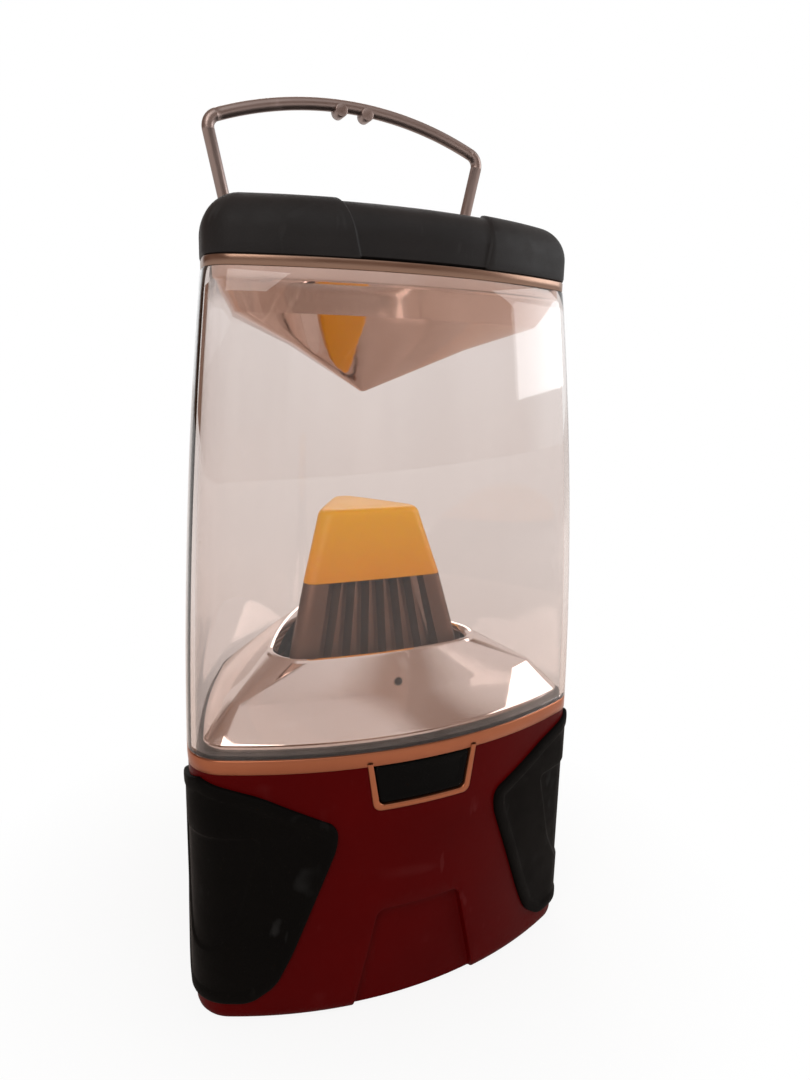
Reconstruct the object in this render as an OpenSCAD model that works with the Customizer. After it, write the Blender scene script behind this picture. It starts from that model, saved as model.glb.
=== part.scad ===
// Battery camping lantern with a three-sided body: a red base that takes four
// D cells, a clear lens between two mirror reflectors, a finned light post,
// a black cap and a wire bail handle.
// Millimetres. +Z is up. The feet stand on Z = 0 and the front faces -Y.

/* [Body outline] */
// Distance from the upright axis to the middle of a side, at the lower trim
side_r = 63; // [62.5:0.1:63.5]
// Radius of the bulging sides at the lower trim
side_arc_r = 162; // [158:1:166]
// Radius of the three upright corners at the lower trim
corner_r = 14.2; // [13.8:0.1:14.6]

/* [Levels] */
// Top of the red base
base_top = 95; // [95:0.1:96]
// Height of the lower trim band
trim_h = 5.2; // [5:0.1:5.6]
// Height of the clear lens between the two trim bands
lens_h = 156.1; // [154:0.1:158]
// Height of the upper trim band
upper_trim_h = 3.4; // [3.2:0.1:3.8]
// Height of the cap
cap_h = 19.3; // [19:0.1:19.6]

/* [Lens] */
// Size of the lens top as a share of its bottom
lens_taper = 0.872; // [0.865:0.001:0.88]
// Bulge of the lens at half height, as a share of its size
lens_bulge = 0.026; // [0.02:0.001:0.03]
// Wall of the lens
lens_wall = 2.5; // [2.3:0.1:2.6]

/* [Base] */
// Wall of the base housing
base_wall = 2.6; // [2.4:0.1:2.8]
// Depth of the arched recess low on each side
arch_depth = 2.8; // [2:0.1:3]
// How far the rubber corner pads stand out of the base
pad_proud = 1.8; // [1.4:0.1:2]
// Travel of the power button
button_travel = 1.2; // [0.8:0.1:1.3]

/* [Batteries] */
// Diameter of a D cell
cell_d = 34.2; // [33.6:0.1:34.2]
// Length of a D cell with its nub
cell_len = 61.5; // [60.5:0.1:61.5]
// Distance from the upright axis to each cell
cell_orbit = 24.6; // [24.5:0.1:24.8]

/* [Handle] */
// Diameter of the bail wire
bail_wire = 4.4; // [4.2:0.1:4.6]
// Height of the pivot above the base's feet
bail_pivot_z = 272.3; // [272.1:0.1:272.5]
// Distance of the pivot behind the upright axis
bail_pivot_y = 13; // [12.8:0.1:13.2]
// Height of the arch's crown above the pivot
bail_rise = 50; // [48:0.1:52]
// Half the width between the legs at the pivot
bail_half_w = 45.8; // [45.6:0.1:46]
// Outward lean of each leg, in degrees
bail_lean = 12.8; // [12:0.1:13.2]
// Radius of the crown arch
bail_arch_r = 140; // [130:1:150]
// Radius of the two shoulder bends
bail_bend_r = 4.5; // [4:0.5:6]

/* [Hidden] */
$fn = 64;

// Overlap that joins solids of one piece, and the gap between moving pieces
join = 0.2;
gap = 0.3;
// Radial clearance of a shaft in its bore
run_fit = 0.06;

// Shank of every small screw, and the clearance hole it passes
screw_r = 1.5;
screw_hole_r = 1.6;

// Steps along each side and each corner of an outline
side_steps = 16;
corner_steps = 8;

// Levels from the feet up
housing_bottom = 0.8;
floor_top = 4;
lens_bottom = base_top + trim_h;
lens_top = lens_bottom + lens_h;
cap_bottom = lens_top + upper_trim_h;
cap_top = cap_bottom + cap_h;

// Outline offsets, measured from the outer face of the lower trim
housing_off = -0.3;
housing_in_off = housing_off - base_wall;
pad_off = housing_off + pad_proud;
frame_proud = 0.5;
// Distance from the axis to the centre of a side's arc, on its far side
arc_back = side_arc_r - side_r;

// The whole lantern's box is centred on the origin, so its axis stands forward of it
corner_orbit = outline_q(side_r, side_arc_r, corner_r);
rear_reach = corner_orbit + corner_r + pad_off;
front_reach = side_r + frame_proud;
axis_y = (front_reach - rear_reach) / 2;

// ---- outlines -------------------------------------------------------------

// Distance from the axis to the centre of a corner circle
function outline_q(d, rs, rc) =
  let (k = rs - d)
  (-k + sqrt(k * k - 4 * (k * k - pow(rs - rc, 2)))) / 2;

function spin_xy(p, a) = [p.x * cos(a) - p.y * sin(a), p.x * sin(a) + p.y * cos(a)];

// Three bulging sides of radius rs, d from the axis, with corners of radius rc.
// The first side faces -Y and the points run anticlockwise.
function tri_ring(d, rs, rc, ns = side_steps, nc = corner_steps) =
  let (
    k = rs - d,
    q = outline_q(d, rs, rc),
    c = [q * cos(30), -q / 2],
    half = atan2(c.x, k - c.y),
    side = [for (j = [0 : ns]) let (t = half * (2 * j / ns - 1)) [rs * sin(t), k - rs * cos(t)]],
    bend = [for (j = [1 : nc - 1])
      let (t = half + (120 - 2 * half) * j / nc) [c.x + rc * sin(t), c.y - rc * cos(t)]]
  )
  [for (i = [0 : 2], p = concat(side, bend)) spin_xy(p, 120 * i)];

// Outline of the body at the lower trim, grown by off
function body_ring(off) = tri_ring(side_r + off, side_arc_r + off, corner_r + off);

// The same outline shrunk to a share s, then grown by off
function sized_ring(s, off) = tri_ring(side_r * s + off, side_arc_r * s + off, corner_r * s + off);

function at_z(ring, z) = [for (p = ring) [p.x, p.y, z]];

// Share of full size at a height of the lens
function lens_share(z) =
  let (u = (z - lens_bottom) / lens_h)
  1 + (lens_taper - 1) * u + lens_bulge * 4 * u * (1 - u);

function lens_ring(z, off) = at_z(sized_ring(lens_share(z), off), z);

// Outline of the cap, grown by off
function cap_ring(off, z) = at_z(sized_ring(lens_taper, off), z);

function unit(v) = v / norm(v);

// One corner of a flat outline, rounded to radius r
function bend_points(a, b, c, r, n) =
  let (
    u = unit(a - b),
    v = unit(c - b),
    h = acos(u * v) / 2,
    ctr = b + unit(u + v) * r / sin(h),
    p0 = b + u * r / tan(h) - ctr,
    p1 = b + v * r / tan(h) - ctr,
    a0 = atan2(p0.y, p0.x),
    turn = (atan2(p1.y, p1.x) - a0 + 540) % 360 - 180
  )
  [for (i = [0 : n]) ctr + r * [cos(a0 + turn * i / n), sin(a0 + turn * i / n)]];

// A flat outline with every corner rounded to radius r
function rounded(pts, r, n = 4) =
  let (m = len(pts))
  [for (i = [0 : m - 1], p = bend_points(pts[(i + m - 1) % m], pts[i], pts[(i + 1) % m], r, n)) p];

// A half outline given for x > 0, from top to bottom, closed by its mirror image
function both_sides(half) =
  let (m = len(half))
  concat(half, [for (i = [m - 1 : -1 : 0]) [-half[i].x, half[i].y]]);

// ---- solids from outlines -------------------------------------------------

function ring_faces(n, k, nk) =
  [for (i = [0 : n - 1]) let (j = (i + 1) % n) [k * n + i, nk * n + i, nk * n + j, k * n + j]];

// Skin over a chain of rings, closed by its first and last ring
module loft(rings) {
  n = len(rings[0]);
  m = len(rings);
  sides = [for (k = [0 : m - 2], f = ring_faces(n, k, k + 1)) f];
  ends = [[for (i = [0 : n - 1]) i], [for (i = [n - 1 : -1 : 0]) (m - 1) * n + i]];
  polyhedron([for (r = rings, p = r) p], concat(sides, ends), convexity = 10);
}

// Skin over rings that lead back to the first one, as on an open sleeve
module sleeve(rings) {
  n = len(rings[0]);
  m = len(rings);
  polyhedron([for (r = rings, p = r) p],
    [for (k = [0 : m - 1], f = ring_faces(n, k, (k + 1) % m)) f], convexity = 10);
}

// Upright prism between two levels
module prism(pts, z0, z1) {
  translate([0, 0, z0])
    linear_extrude(z1 - z0)
      polygon(pts);
}

// Upright wall between two outlines and two levels
module wall(outer, inner, z0, z1) {
  translate([0, 0, z0])
    linear_extrude(z1 - z0)
      difference() {
        polygon(outer);
        polygon(inner);
      }
}

module post(r, z0, z1) {
  translate([0, 0, z0])
    cylinder(r = r, h = z1 - z0);
}

module pipe(r_out, r_in, z0, z1) {
  difference() {
    post(r_out, z0, z1);
    post(r_in, z0 - 1, z1 + 1);
  }
}

// Prism of an outline drawn in X and Z, running along Y between y0 and y1
module front_prism(pts, y0, y1) {
  translate([0, y1, 0])
    rotate([90, 0, 0])
      linear_extrude(y1 - y0)
        polygon(pts);
}

// Upright slab that follows the bulge of the front side
module front_slab(d_out, d_in, z0, z1) {
  translate([0, arc_back, z0])
    difference() {
      cylinder(r = arc_back + d_out, h = z1 - z0, $fn = 360);
      translate([0, 0, -1])
        cylinder(r = arc_back + d_in, h = z1 - z0 + 2, $fn = 360);
    }
}

// Rod along Y
module y_rod(r, y0, y1) {
  translate([0, y0, 0])
    rotate([-90, 0, 0])
      cylinder(r = r, h = y1 - y0);
}

// Rod along X
module x_rod(r, x0, x1) {
  translate([x0, 0, 0])
    rotate([0, 90, 0])
      cylinder(r = r, h = x1 - x0);
}

// Copies for the three sides, and copies out along the three corners
module each_side() {
  for (i = [0 : 2])
    rotate(120 * i)
      children();
}
module each_corner(orbit) {
  for (i = [0 : 2])
    rotate(120 * i - 30)
      translate([orbit, 0, 0])
        children();
}

// The lantern's axis stands at x = 0, y = axis_y
module place() {
  translate([0, axis_y, 0])
    children();
}

// Pan-head screw with a cross slot; its head faces down and ends at z0
module screw_up(z0, len, r = screw_r, head_r = 2.8, head_h = 2) {
  difference() {
    union() {
      post(head_r, z0, z0 + head_h);
      post(r, z0 + head_h - join, z0 + head_h + len);
    }
    for (a = [0, 90])
      rotate(a)
        translate([-head_r * 0.65, -0.35, z0 - 1])
          cube([head_r * 1.3, 0.7, 1.9]);
  }
}

// The same screw with its head facing up, ending at z1
module screw_down(z1, len, r = screw_r, head_r = 2.8, head_h = 2) {
  translate([0, 0, z1])
    mirror([0, 0, 1])
      screw_up(0, len, r, head_r, head_h);
}

// ---- base -----------------------------------------------------------------

// Where the housing screws stand, out along each corner
boss_orbit = 68;
boss_r = 5;
boss_meet_z = 30;
screw_recess_z = 9;
screw_recess_r = 3.2;
door_r = 50;
foot_r = 8.5;
foot_h = 2.2;

// Arched recess in the foot of each side
arch_half = [[16.5, 39.5], [26.5, -5]];
arch_pts = rounded(both_sides(arch_half), 3);
arch_backing_pts = both_sides([[19.5, 42], [30.5, floor_top - join]]);

// Button window and the bronze frame that lines it
frame_bottom = base_top - 16.8;
frame_w = 2.1;
window_half = [[22.2, base_top + 8], [18.6, frame_bottom]];
frame_outer_pts = rounded(both_sides(window_half), 2.6);
frame_inner_half = [
  [window_half[0].x - frame_w, window_half[0].y + 4], [window_half[1].x - frame_w, frame_bottom + frame_w]
];
frame_inner_pts = rounded(both_sides(frame_inner_half), 2);
// The button's edges keep the gap to the frame's sloping inner line
frame_side = frame_inner_half[0] - frame_inner_half[1];
button_low = [frame_inner_half[1].x - gap, frame_inner_half[1].y + gap];
button_top_x = button_low.x + frame_side.x / frame_side.y * (base_top - gap - button_low.y);
button_half = [[button_top_x, base_top - gap], button_low];
button_pts = rounded(both_sides(button_half), 1.8);
button_flange_pts = both_sides([[20.2, base_top - 0.7], [17.6, frame_bottom + 1]]);
button_z = base_top - 7.6;
stem_r = 2.5;

module base_housing() {
  color("#6e0a0d") place() {
    difference() {
      union() {
        sleeve([
          at_z(body_ring(housing_off - 1.6), housing_bottom),
          at_z(body_ring(housing_off - 0.5), housing_bottom + 1.2),
          at_z(body_ring(housing_off), housing_bottom + 3.7),
          at_z(body_ring(housing_in_off), housing_bottom + 3.7),
          at_z(body_ring(housing_in_off), housing_bottom)
        ]);
        wall(body_ring(housing_off), body_ring(housing_in_off), housing_bottom + 3.7, base_top);
        wall(body_ring(housing_in_off + join), [for (a = [0 : 5 : 355]) (door_r + gap) * [cos(a), sin(a)]],
          housing_bottom, floor_top);
        each_corner(boss_orbit)
          post(boss_r, floor_top - join, boss_meet_z);
        each_side()
          intersection() {
            front_prism(arch_backing_pts, -side_r, -side_r / 2);
            front_slab(side_r + housing_in_off + join, side_r + housing_in_off - 2.6, floor_top - join, 43);
          }
      }
      each_side()
        intersection() {
          front_prism(arch_pts, -side_r - 5, -side_r / 2);
          front_slab(side_r + 5, side_r + housing_off - arch_depth, -1, 45);
        }
      front_prism(frame_outer_pts, -side_r - 5, -side_r / 2);
      each_corner(boss_orbit) {
        post(screw_recess_r, -1, screw_recess_z);
        post(screw_hole_r, screw_recess_z - 1, boss_meet_z + 1);
        post(foot_r + 0.1, -1, foot_h);
      }
      post(door_r + gap, -1, floor_top + 1);
    }
  }
}

module base_trim() {
  color("#8f5a48") place() {
    wall(body_ring(0), body_ring(-1.2), base_top, lens_bottom);
    intersection() {
      difference() {
        front_prism(frame_outer_pts, -side_r - 2, -side_r / 2);
        front_prism(frame_inner_pts, -side_r - 3, -side_r / 2 + 1);
      }
      front_slab(side_r + frame_proud, side_r + housing_in_off, frame_bottom - 1, base_top + join);
    }
  }
}

// Stem of the button, and the plunger of the switch that it pushes
stem_end_y = -side_r + 6.5;
switch_front_y = -side_r + 8.4;
switch_back_y = -side_r + 12.5;
board_t = 1.6;
switch_half = 3.1;
wire_r = 0.8;
plunger_r = 1.75;
plunger_room_y = switch_back_y - 0.7;
plunger_end_y = plunger_room_y - button_travel - gap;

module power_button() {
  color("#0c0c0d") place() {
    intersection() {
      front_prism(button_pts, -side_r - 2, -side_r / 2);
      front_slab(side_r - 0.2, side_r + housing_in_off - 1, frame_bottom, base_top);
    }
    intersection() {
      front_prism(button_flange_pts, -side_r - 2, -side_r / 2);
      front_slab(side_r + housing_in_off - gap, side_r + housing_in_off - 1.7, frame_bottom - 1, base_top);
    }
    translate([0, 0, button_z])
      y_rod(stem_r, -side_r - housing_in_off + 0.6, stem_end_y);
  }
}

module switch_plunger() {
  color("#2a2a2c") place()
    translate([0, 0, button_z])
      y_rod(plunger_r, stem_end_y, plunger_end_y);
}

module tact_switch() {
  color("#3b3b3d") place()
    difference() {
      translate([-switch_half, switch_front_y, button_z - switch_half])
        cube([2 * switch_half, switch_back_y - switch_front_y, 2 * switch_half]);
      translate([0, 0, button_z])
        y_rod(plunger_r + run_fit, switch_front_y - 1, plunger_room_y);
    }
}

module switch_board() {
  color("#1d5a34") place()
    translate([-13, switch_back_y, button_z - 7])
      cube([26, board_t, 12]);
}

// Leads from the switch board to the driver board
module switch_wires() {
  color("#b3221e") place()
    for (x = [-10.5, 10.5])
      translate([x, 0, driver_z + board_t + 1])
        y_rod(wire_r, switch_back_y + board_t, -20);
}

// Zone of a side that its corner pads leave free
pad_window_half = [
  [82, 104], [82, base_top + 1], [56, 87], [31, 74.5], [31, 67], [46, 27], [51.5, 15], [60, 8], [60, -5]
];
pad_window_pts = both_sides(pad_window_half);
// Shallow recess around each pad's corner
pad_zone_half = [[21, 73], [17.5, 60], [13, 42], [5, 28]];
pad_zone_pts = rounded(both_sides(pad_zone_half), 4);
pad_bottom = 8.2;
pad_top = base_top - 1.2;

module corner_pad(i) {
  color("#141416") place()
    rotate(120 * i)
      difference() {
        intersection() {
          wall(body_ring(pad_off), body_ring(housing_off), pad_bottom, pad_top);
          prism([[0, 0], [0, -150], [150, -150], [150, 150 * tan(30)]], 0, base_top);
        }
        for (a = [0, 120])
          rotate(a)
            front_prism(pad_window_pts, -side_r - 12, -20);
        rotate(60)
          difference() {
            front_prism(pad_zone_pts, -120, -40);
            rotate(-60)
              prism(body_ring(pad_off - 0.8), 0, 100);
          }
      }
}
module corner_pad_right() { corner_pad(0); }
module corner_pad_rear() { corner_pad(1); }
module corner_pad_left() { corner_pad(2); }

module rubber_feet() {
  color("#18181a") place()
    each_corner(boss_orbit)
      post(foot_r, 0, foot_h);
}

module housing_screws() {
  color("#9c9ca0") place()
    each_corner(boss_orbit)
      screw_up(screw_recess_z - 2, 30);
}

// ---- deck between the base and the lens -----------------------------------

deck_z = base_top + 1.5;
deck_t = 2.5;
deck_top = deck_z + deck_t;
rim_off = -2.8;
rim_in_off = -5.4;
groove_in_off = -2.6;
groove_out_off = -1.4;
lens_foot_z = lens_bottom - 2;
sink_screw_orbit = 31;
refl_post_orbit = 59.5;
column_orbit = 41;
wire_hole_r = 5;
refl_post_r = 3.2;
refl_post_sink = 2.6;

module top_deck() {
  color("#1b1b1d") place()
    difference() {
      union() {
        wall(body_ring(-1.3), body_ring(rim_in_off), base_top, deck_z);
        wall(body_ring(rim_off), body_ring(rim_in_off), base_top, lens_bottom + 0.8);
        prism(body_ring(rim_in_off + join), deck_z, deck_top);
        each_corner(boss_orbit)
          post(boss_r, boss_meet_z, deck_z + join);
        translate([-8, switch_back_y + board_t, button_z - 9])
          cube([16, 2, deck_z + join - button_z + 9]);
      }
      each_corner(boss_orbit)
        post(screw_r, boss_meet_z - 1, boss_meet_z + 12);
      each_corner(refl_post_orbit)
        post(screw_hole_r, deck_z - 1, deck_top + 1);
      rotate(60)
        each_corner(sink_screw_orbit)
          post(screw_r, deck_z - 1, deck_top + 1);
      rotate(60)
        each_corner(column_orbit)
          post(screw_hole_r, deck_z - 1, deck_top + 1);
      post(wire_hole_r, deck_z - 1, deck_top + 1);
    }
}

module lens_seal() {
  color("#101012") place()
    wall(body_ring(groove_out_off), body_ring(groove_in_off), deck_z, lens_foot_z);
}

// ---- lens -----------------------------------------------------------------

lens_steps = 7;
top_lip_h = 2;
top_lip_off = -1.2;

module lens() {
  outside = [for (i = [0 : lens_steps]) lens_ring(lens_bottom + lens_h * i / lens_steps, 0)];
  inside = [for (i = [lens_steps : -1 : 0]) lens_ring(lens_bottom + lens_h * i / lens_steps, -lens_wall)];
  color("#dfe6ea", 0.3) place()
    sleeve(concat(
      [at_z(body_ring(groove_in_off + 0.1), lens_foot_z), at_z(body_ring(groove_out_off), lens_foot_z)],
      [at_z(body_ring(groove_out_off), lens_bottom)],
      outside,
      [cap_ring(top_lip_off, lens_top), cap_ring(top_lip_off, lens_top + top_lip_h)],
      [cap_ring(-lens_wall, lens_top + top_lip_h)],
      inside));
}

module cap_seal() {
  color("#101012") place()
    wall(sized_ring(lens_taper, top_lip_off), sized_ring(lens_taper, -lens_wall),
      lens_top + top_lip_h, lens_top + top_lip_h + 1);
}

module upper_trim() {
  color("#7d5f55") place()
    wall(sized_ring(lens_taper, -0.25), sized_ring(lens_taper, top_lip_off + 0.05), lens_top, cap_bottom);
}

// ---- cap and handle -------------------------------------------------------

plate_t = 2.5;
cap_screw_orbit = 36;
cap_wall = 3;
cap_boss_r = 3.6;
shoulder_z = cap_bottom + 7.2;
shoulder_h = cap_top - shoulder_z;
shoulder_in = 13;
step_depth = 0.9;

module top_plate() {
  color("#1b1b1d") place()
    difference() {
      prism(sized_ring(lens_taper, -lens_wall - 0.15), lens_top, lens_top + plate_t);
      each_corner(cap_screw_orbit)
        post(screw_hole_r, lens_top - 1, lens_top + plate_t + 1);
    }
}

module cap_screws() {
  color("#9c9ca0") place()
    each_corner(cap_screw_orbit)
      screw_up(lens_top - 2, 11);
}

// Deepest offset that still leaves the cap's outline rounded at its corners
cap_in_off = 0.1 - corner_r * lens_taper;

// Rounded outer skin of the cap, drawn in by a depth
function cap_skin(depth) = concat(
  [cap_ring(-0.4 - depth, cap_bottom - (depth > 0 ? 5 : 0)), cap_ring(-depth, cap_bottom + 1.2)],
  [for (t = [0 : 15 : 90])
    let (off = max(cap_in_off, -depth - shoulder_in * (1 - cos(t))))
    cap_ring(off, shoulder_z + (shoulder_h - depth) * sin(t))]);

// Middle of each side of the cap, stepped in between the corners
step_pts = both_sides([[28, cap_top + 5], [21.6, cap_bottom - 5]]);

// Slots in the cap's shoulders for the legs of the bail
// The legs lean out, so each slot widens towards its front end
slot_floor = cap_bottom + 9.2;
slot_flare = 6.4;
slot_wall = 1.6;
slot_in_x = 35.4;
slot_out_x = 50.6;
slot_front_y = -21;
slot_back_y = bail_pivot_y + bail_wire / 2 + 0.4;
bracket_back_y = bail_pivot_y + 6;

module bail_slot(grow, z0) {
  for (side = [0, 1])
    mirror([side, 0, 0])
      prism([
        [slot_in_x - grow, slot_front_y - grow],
        [slot_out_x + slot_flare + grow, slot_front_y - grow],
        [slot_out_x + grow, slot_back_y - 8],
        [slot_out_x + grow, slot_back_y + grow / 2],
        [slot_out_x - 6, bracket_back_y + grow],
        [slot_in_x - grow, bracket_back_y + grow]
      ], z0, cap_top + 5);
}

module top_cap() {
  color("#1e1c1d") place()
    difference() {
      union() {
        loft(concat(
          [cap_ring(cap_in_off, cap_top - cap_wall), cap_ring(-7, cap_top - cap_wall - 2.5)],
          [cap_ring(-cap_wall, shoulder_z), cap_ring(-cap_wall + 0.3, cap_bottom)],
          cap_skin(0)));
        each_corner(cap_screw_orbit)
          post(cap_boss_r, lens_top + plate_t, cap_top - cap_wall + join);
        intersection() {
          bail_slot(slot_wall, slot_floor - slot_wall);
          loft(cap_skin(0.4));
        }
      }
      difference() {
        each_side()
          front_prism(step_pts, -side_r - 5, -34);
        loft(cap_skin(step_depth));
      }
      bail_slot(0, slot_floor);
      each_corner(cap_screw_orbit)
        post(screw_r, lens_top, lens_top + 11);
    }
}

// Bearing blocks of the bail, screwed to the floor of the slots
bracket_x = [36, 43];
bracket_mid_x = (bracket_x[0] + bracket_x[1]) / 2;
bracket_r = 5;
bracket_foot_y = -8;
bracket_foot_t = 1.6;
bracket_screw_y = -3.5;
bracket_screw_r = 1.4;

module bail_brackets() {
  color("#26262a") place()
    for (side = [0, 1])
      mirror([side, 0, 0])
        difference() {
          union() {
            translate([bracket_x[0], bail_pivot_y - bracket_r, slot_floor])
              cube([bracket_x[1] - bracket_x[0], 2 * bracket_r, bail_pivot_z - slot_floor]);
            translate([0, bail_pivot_y, bail_pivot_z])
              x_rod(bracket_r, bracket_x[0], bracket_x[1]);
            translate([bracket_x[0], bracket_foot_y, slot_floor])
              cube([bracket_x[1] - bracket_x[0], bail_pivot_y + 4, bracket_foot_t]);
          }
          translate([0, bail_pivot_y, bail_pivot_z])
            x_rod(bail_wire / 2 + run_fit, bracket_x[0] - 1, bracket_x[1] + 1);
          translate([bracket_mid_x, bracket_screw_y, 0])
            post(bracket_screw_r, slot_floor - 1, slot_floor + 3);
          translate([0, 0, slot_floor - 10])
            cube([200, 200, 20], center = true);
        }
}

module bracket_screws() {
  color("#9c9ca0") place()
    for (side = [0, 1])
      mirror([side, 0, 0])
        translate([bracket_mid_x, bracket_screw_y, 0])
          screw_down(slot_floor + 2 * bracket_foot_t, bracket_foot_t,
            r = bracket_screw_r, head_r = 2.4, head_h = bracket_foot_t);
}

// Bail wire: a pin, a leg, a shoulder bend and half of the crown arch,
// then the mirror image. Points are (x, z) about the pivot's own height.
leg_dir = [sin(bail_lean), cos(bail_lean)];
leg_in = [-leg_dir.y, leg_dir.x];
leg_foot = [bail_half_w, 0];
arch_c = [0, bail_rise - bail_arch_r];
pin_bend_r = 4;
pin_cut = pin_bend_r / tan((90 + bail_lean) / 2);
bend_from = leg_foot + bail_bend_r * leg_in - arch_c;
leg_len = -bend_from * leg_dir
  + sqrt(pow(bend_from * leg_dir, 2) - bend_from * bend_from + pow(bail_arch_r - bail_bend_r, 2));
bend_c = arch_c + bend_from + leg_len * leg_dir;
bend_end = atan2(bend_c.y - arch_c.y, bend_c.x);

// Points of an arc that turns left from heading h0 to h1, each with its heading
function turn_points(c, r, h0, h1, n) =
  [for (i = [0 : n]) let (h = h0 + (h1 - h0) * i / n) [c.x + r * sin(h), c.y - r * cos(h), h]];

bail_half = concat(
  [[bracket_x[0] + 1, 0, 0]],
  turn_points([bail_half_w - pin_cut, pin_bend_r], pin_bend_r, 0, 90 - bail_lean, 6),
  turn_points(bend_c, bail_bend_r, 90 - bail_lean, 90 + bend_end, 10),
  turn_points(arch_c, bail_arch_r, 90 + bend_end, 180, 12));
bail_path = concat(bail_half,
  [for (i = [len(bail_half) - 2 : -1 : 0]) [-bail_half[i].x, bail_half[i].y, 360 - bail_half[i].z]]);
wire_sides = 20;

module bail() {
  color("#6d625d") place()
    translate([0, bail_pivot_y, bail_pivot_z])
      loft([for (p = bail_path)
        [for (j = [0 : wire_sides - 1])
          let (a = 360 * j / wire_sides, out = bail_wire / 2 * cos(a))
          [p.x - out * sin(p.z), -bail_wire / 2 * sin(a), p.y + out * cos(p.z)]]]);
}

// Two studs that keep a hanging hook at the middle of the crown
stud_x = 5.2;
stud_drop = 2;
stud_r = 2.4;
stud_half_len = 2.8;

module bail_stops() {
  color("#776c66") place()
    for (x = [-stud_x, stud_x])
      translate([x, bail_pivot_y, bail_pivot_z + bail_rise - stud_drop])
        y_rod(stud_r, -stud_half_len, stud_half_len);
}

// ---- reflectors -----------------------------------------------------------

// Rings of the lower mirror, from its skirt up to the rim of the opening
refl_skirt = tri_ring(58, 157, 9.6);
refl_ridge = tri_ring(57.5, 157, 9.1);
refl_crease = tri_ring(45.2, 190, 3.4);
refl_rim = tri_ring(32.4, 196, 13.8);
refl_lip = tri_ring(30.4, 198, 11.8);
refl_bore = tri_ring(28.8, 200, 10.2);
// The same mirror's underside, from the opening out to the skirt
under_bore = tri_ring(30.1, 198.7, 11.5);
under_rim = tri_ring(30.9, 197.5, 12.3);
under_crease = tri_ring(44.4, 189.2, 2.6);
under_ridge = tri_ring(56, 155.5, 7.6);
under_skirt = tri_ring(56.4, 155.4, 8);
refl_crease_z = lens_bottom + 13.4;
refl_rim_z = lens_bottom + 23.6;

module lower_reflector() {
  color("#c9ccd0") place()
    difference() {
      union() {
        sleeve([
          at_z(refl_skirt, lens_bottom + 1),
          at_z(refl_skirt, lens_bottom + 3),
          at_z(refl_ridge, lens_bottom + 3.8),
          at_z(refl_crease, refl_crease_z),
          at_z(refl_rim, refl_rim_z - 0.6),
          at_z(refl_lip, refl_rim_z + 0.3),
          at_z(refl_bore, refl_rim_z - 0.6),
          at_z(refl_bore, refl_rim_z - 9),
          at_z(under_bore, refl_rim_z - 9),
          at_z(under_rim, refl_rim_z - 2.4),
          at_z(under_crease, refl_crease_z - 1.5),
          at_z(under_ridge, lens_bottom + 2.8),
          at_z(under_skirt, lens_bottom + 1)
        ]);
        each_corner(refl_post_orbit)
          post(refl_post_r, deck_top, refl_crease_z + refl_post_sink);
      }
      each_corner(refl_post_orbit)
        post(screw_r, deck_top - 1, deck_top + 9);
      translate([indicator_x, indicator_y, indicator_z])
        rotate([indicator_tilt, 0, 0])
          post(lamp_r + run_fit, -8, 4);
    }
}

module reflector_screws() {
  color("#9c9ca0") place()
    each_corner(refl_post_orbit)
      screw_up(deck_z - 2, deck_t + 7);
}

// Charge lamp in the sloping front face of the lower mirror
indicator_x = -1.5;
indicator_y = -42;
indicator_z = lens_bottom + 15.9;
indicator_tilt = 38;
lamp_r = 1.45;

module indicator_led() {
  color("#241a14") place()
    translate([indicator_x, indicator_y, indicator_z])
      rotate([indicator_tilt, 0, 0]) {
        post(lamp_r, -6, 0.2);
        translate([0, 0, 0.2])
          intersection() {
            sphere(r = lamp_r);
            post(2, 0, 2);
          }
      }
}

// Upper mirror: an upright band inside the lens, then a three-sided point
module upper_reflector() {
  color("#c9ccd0") place()
    loft([
      at_z(tri_ring(0.7, 3, 0.35), lens_top - 37.6),
      at_z(tri_ring(26.4, 86, 1.8), lens_top - 21.4),
      at_z(tri_ring(44.7, 134, 4.3), lens_top - 12.9),
      at_z(sized_ring(lens_taper, -4.3), lens_top - 4.6),
      at_z(sized_ring(lens_taper, -3.1), lens_top - 4),
      at_z(sized_ring(lens_taper, -2.8), lens_top),
      at_z(sized_ring(lens_taper, -4.4), lens_top),
      at_z(sized_ring(lens_taper, -6), lens_top - 3),
      at_z(tri_ring(43, 132, 2.9), lens_top - 11.4),
      at_z(tri_ring(25, 84, 1.2), lens_top - 19.5),
      at_z(tri_ring(0.5, 3, 0.2), lens_top - 34.7)
    ]);
}

// ---- light post -----------------------------------------------------------

sink_top = lens_bottom + 48.1;
sink_neck = lens_bottom + 21.8;
sink_base_t = 2.5;
cover_top = lens_bottom + 74.9;
sink_foot_r = 36;
sink_side = 22.4;
sink_top_side = 18.3;
fin_count = 9;
// The slots between the fins fan out and lean back with the post's sides
slot_depth = 7;
slot_w = 4.9;
fin_spread = 56;
fin_fan = 27;
fin_lean = 8.9;
post_nc = 6;

function post_ring(d, rc, z) = at_z(tri_ring(d, 40 * d, rc, 1, post_nc), z);

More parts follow.
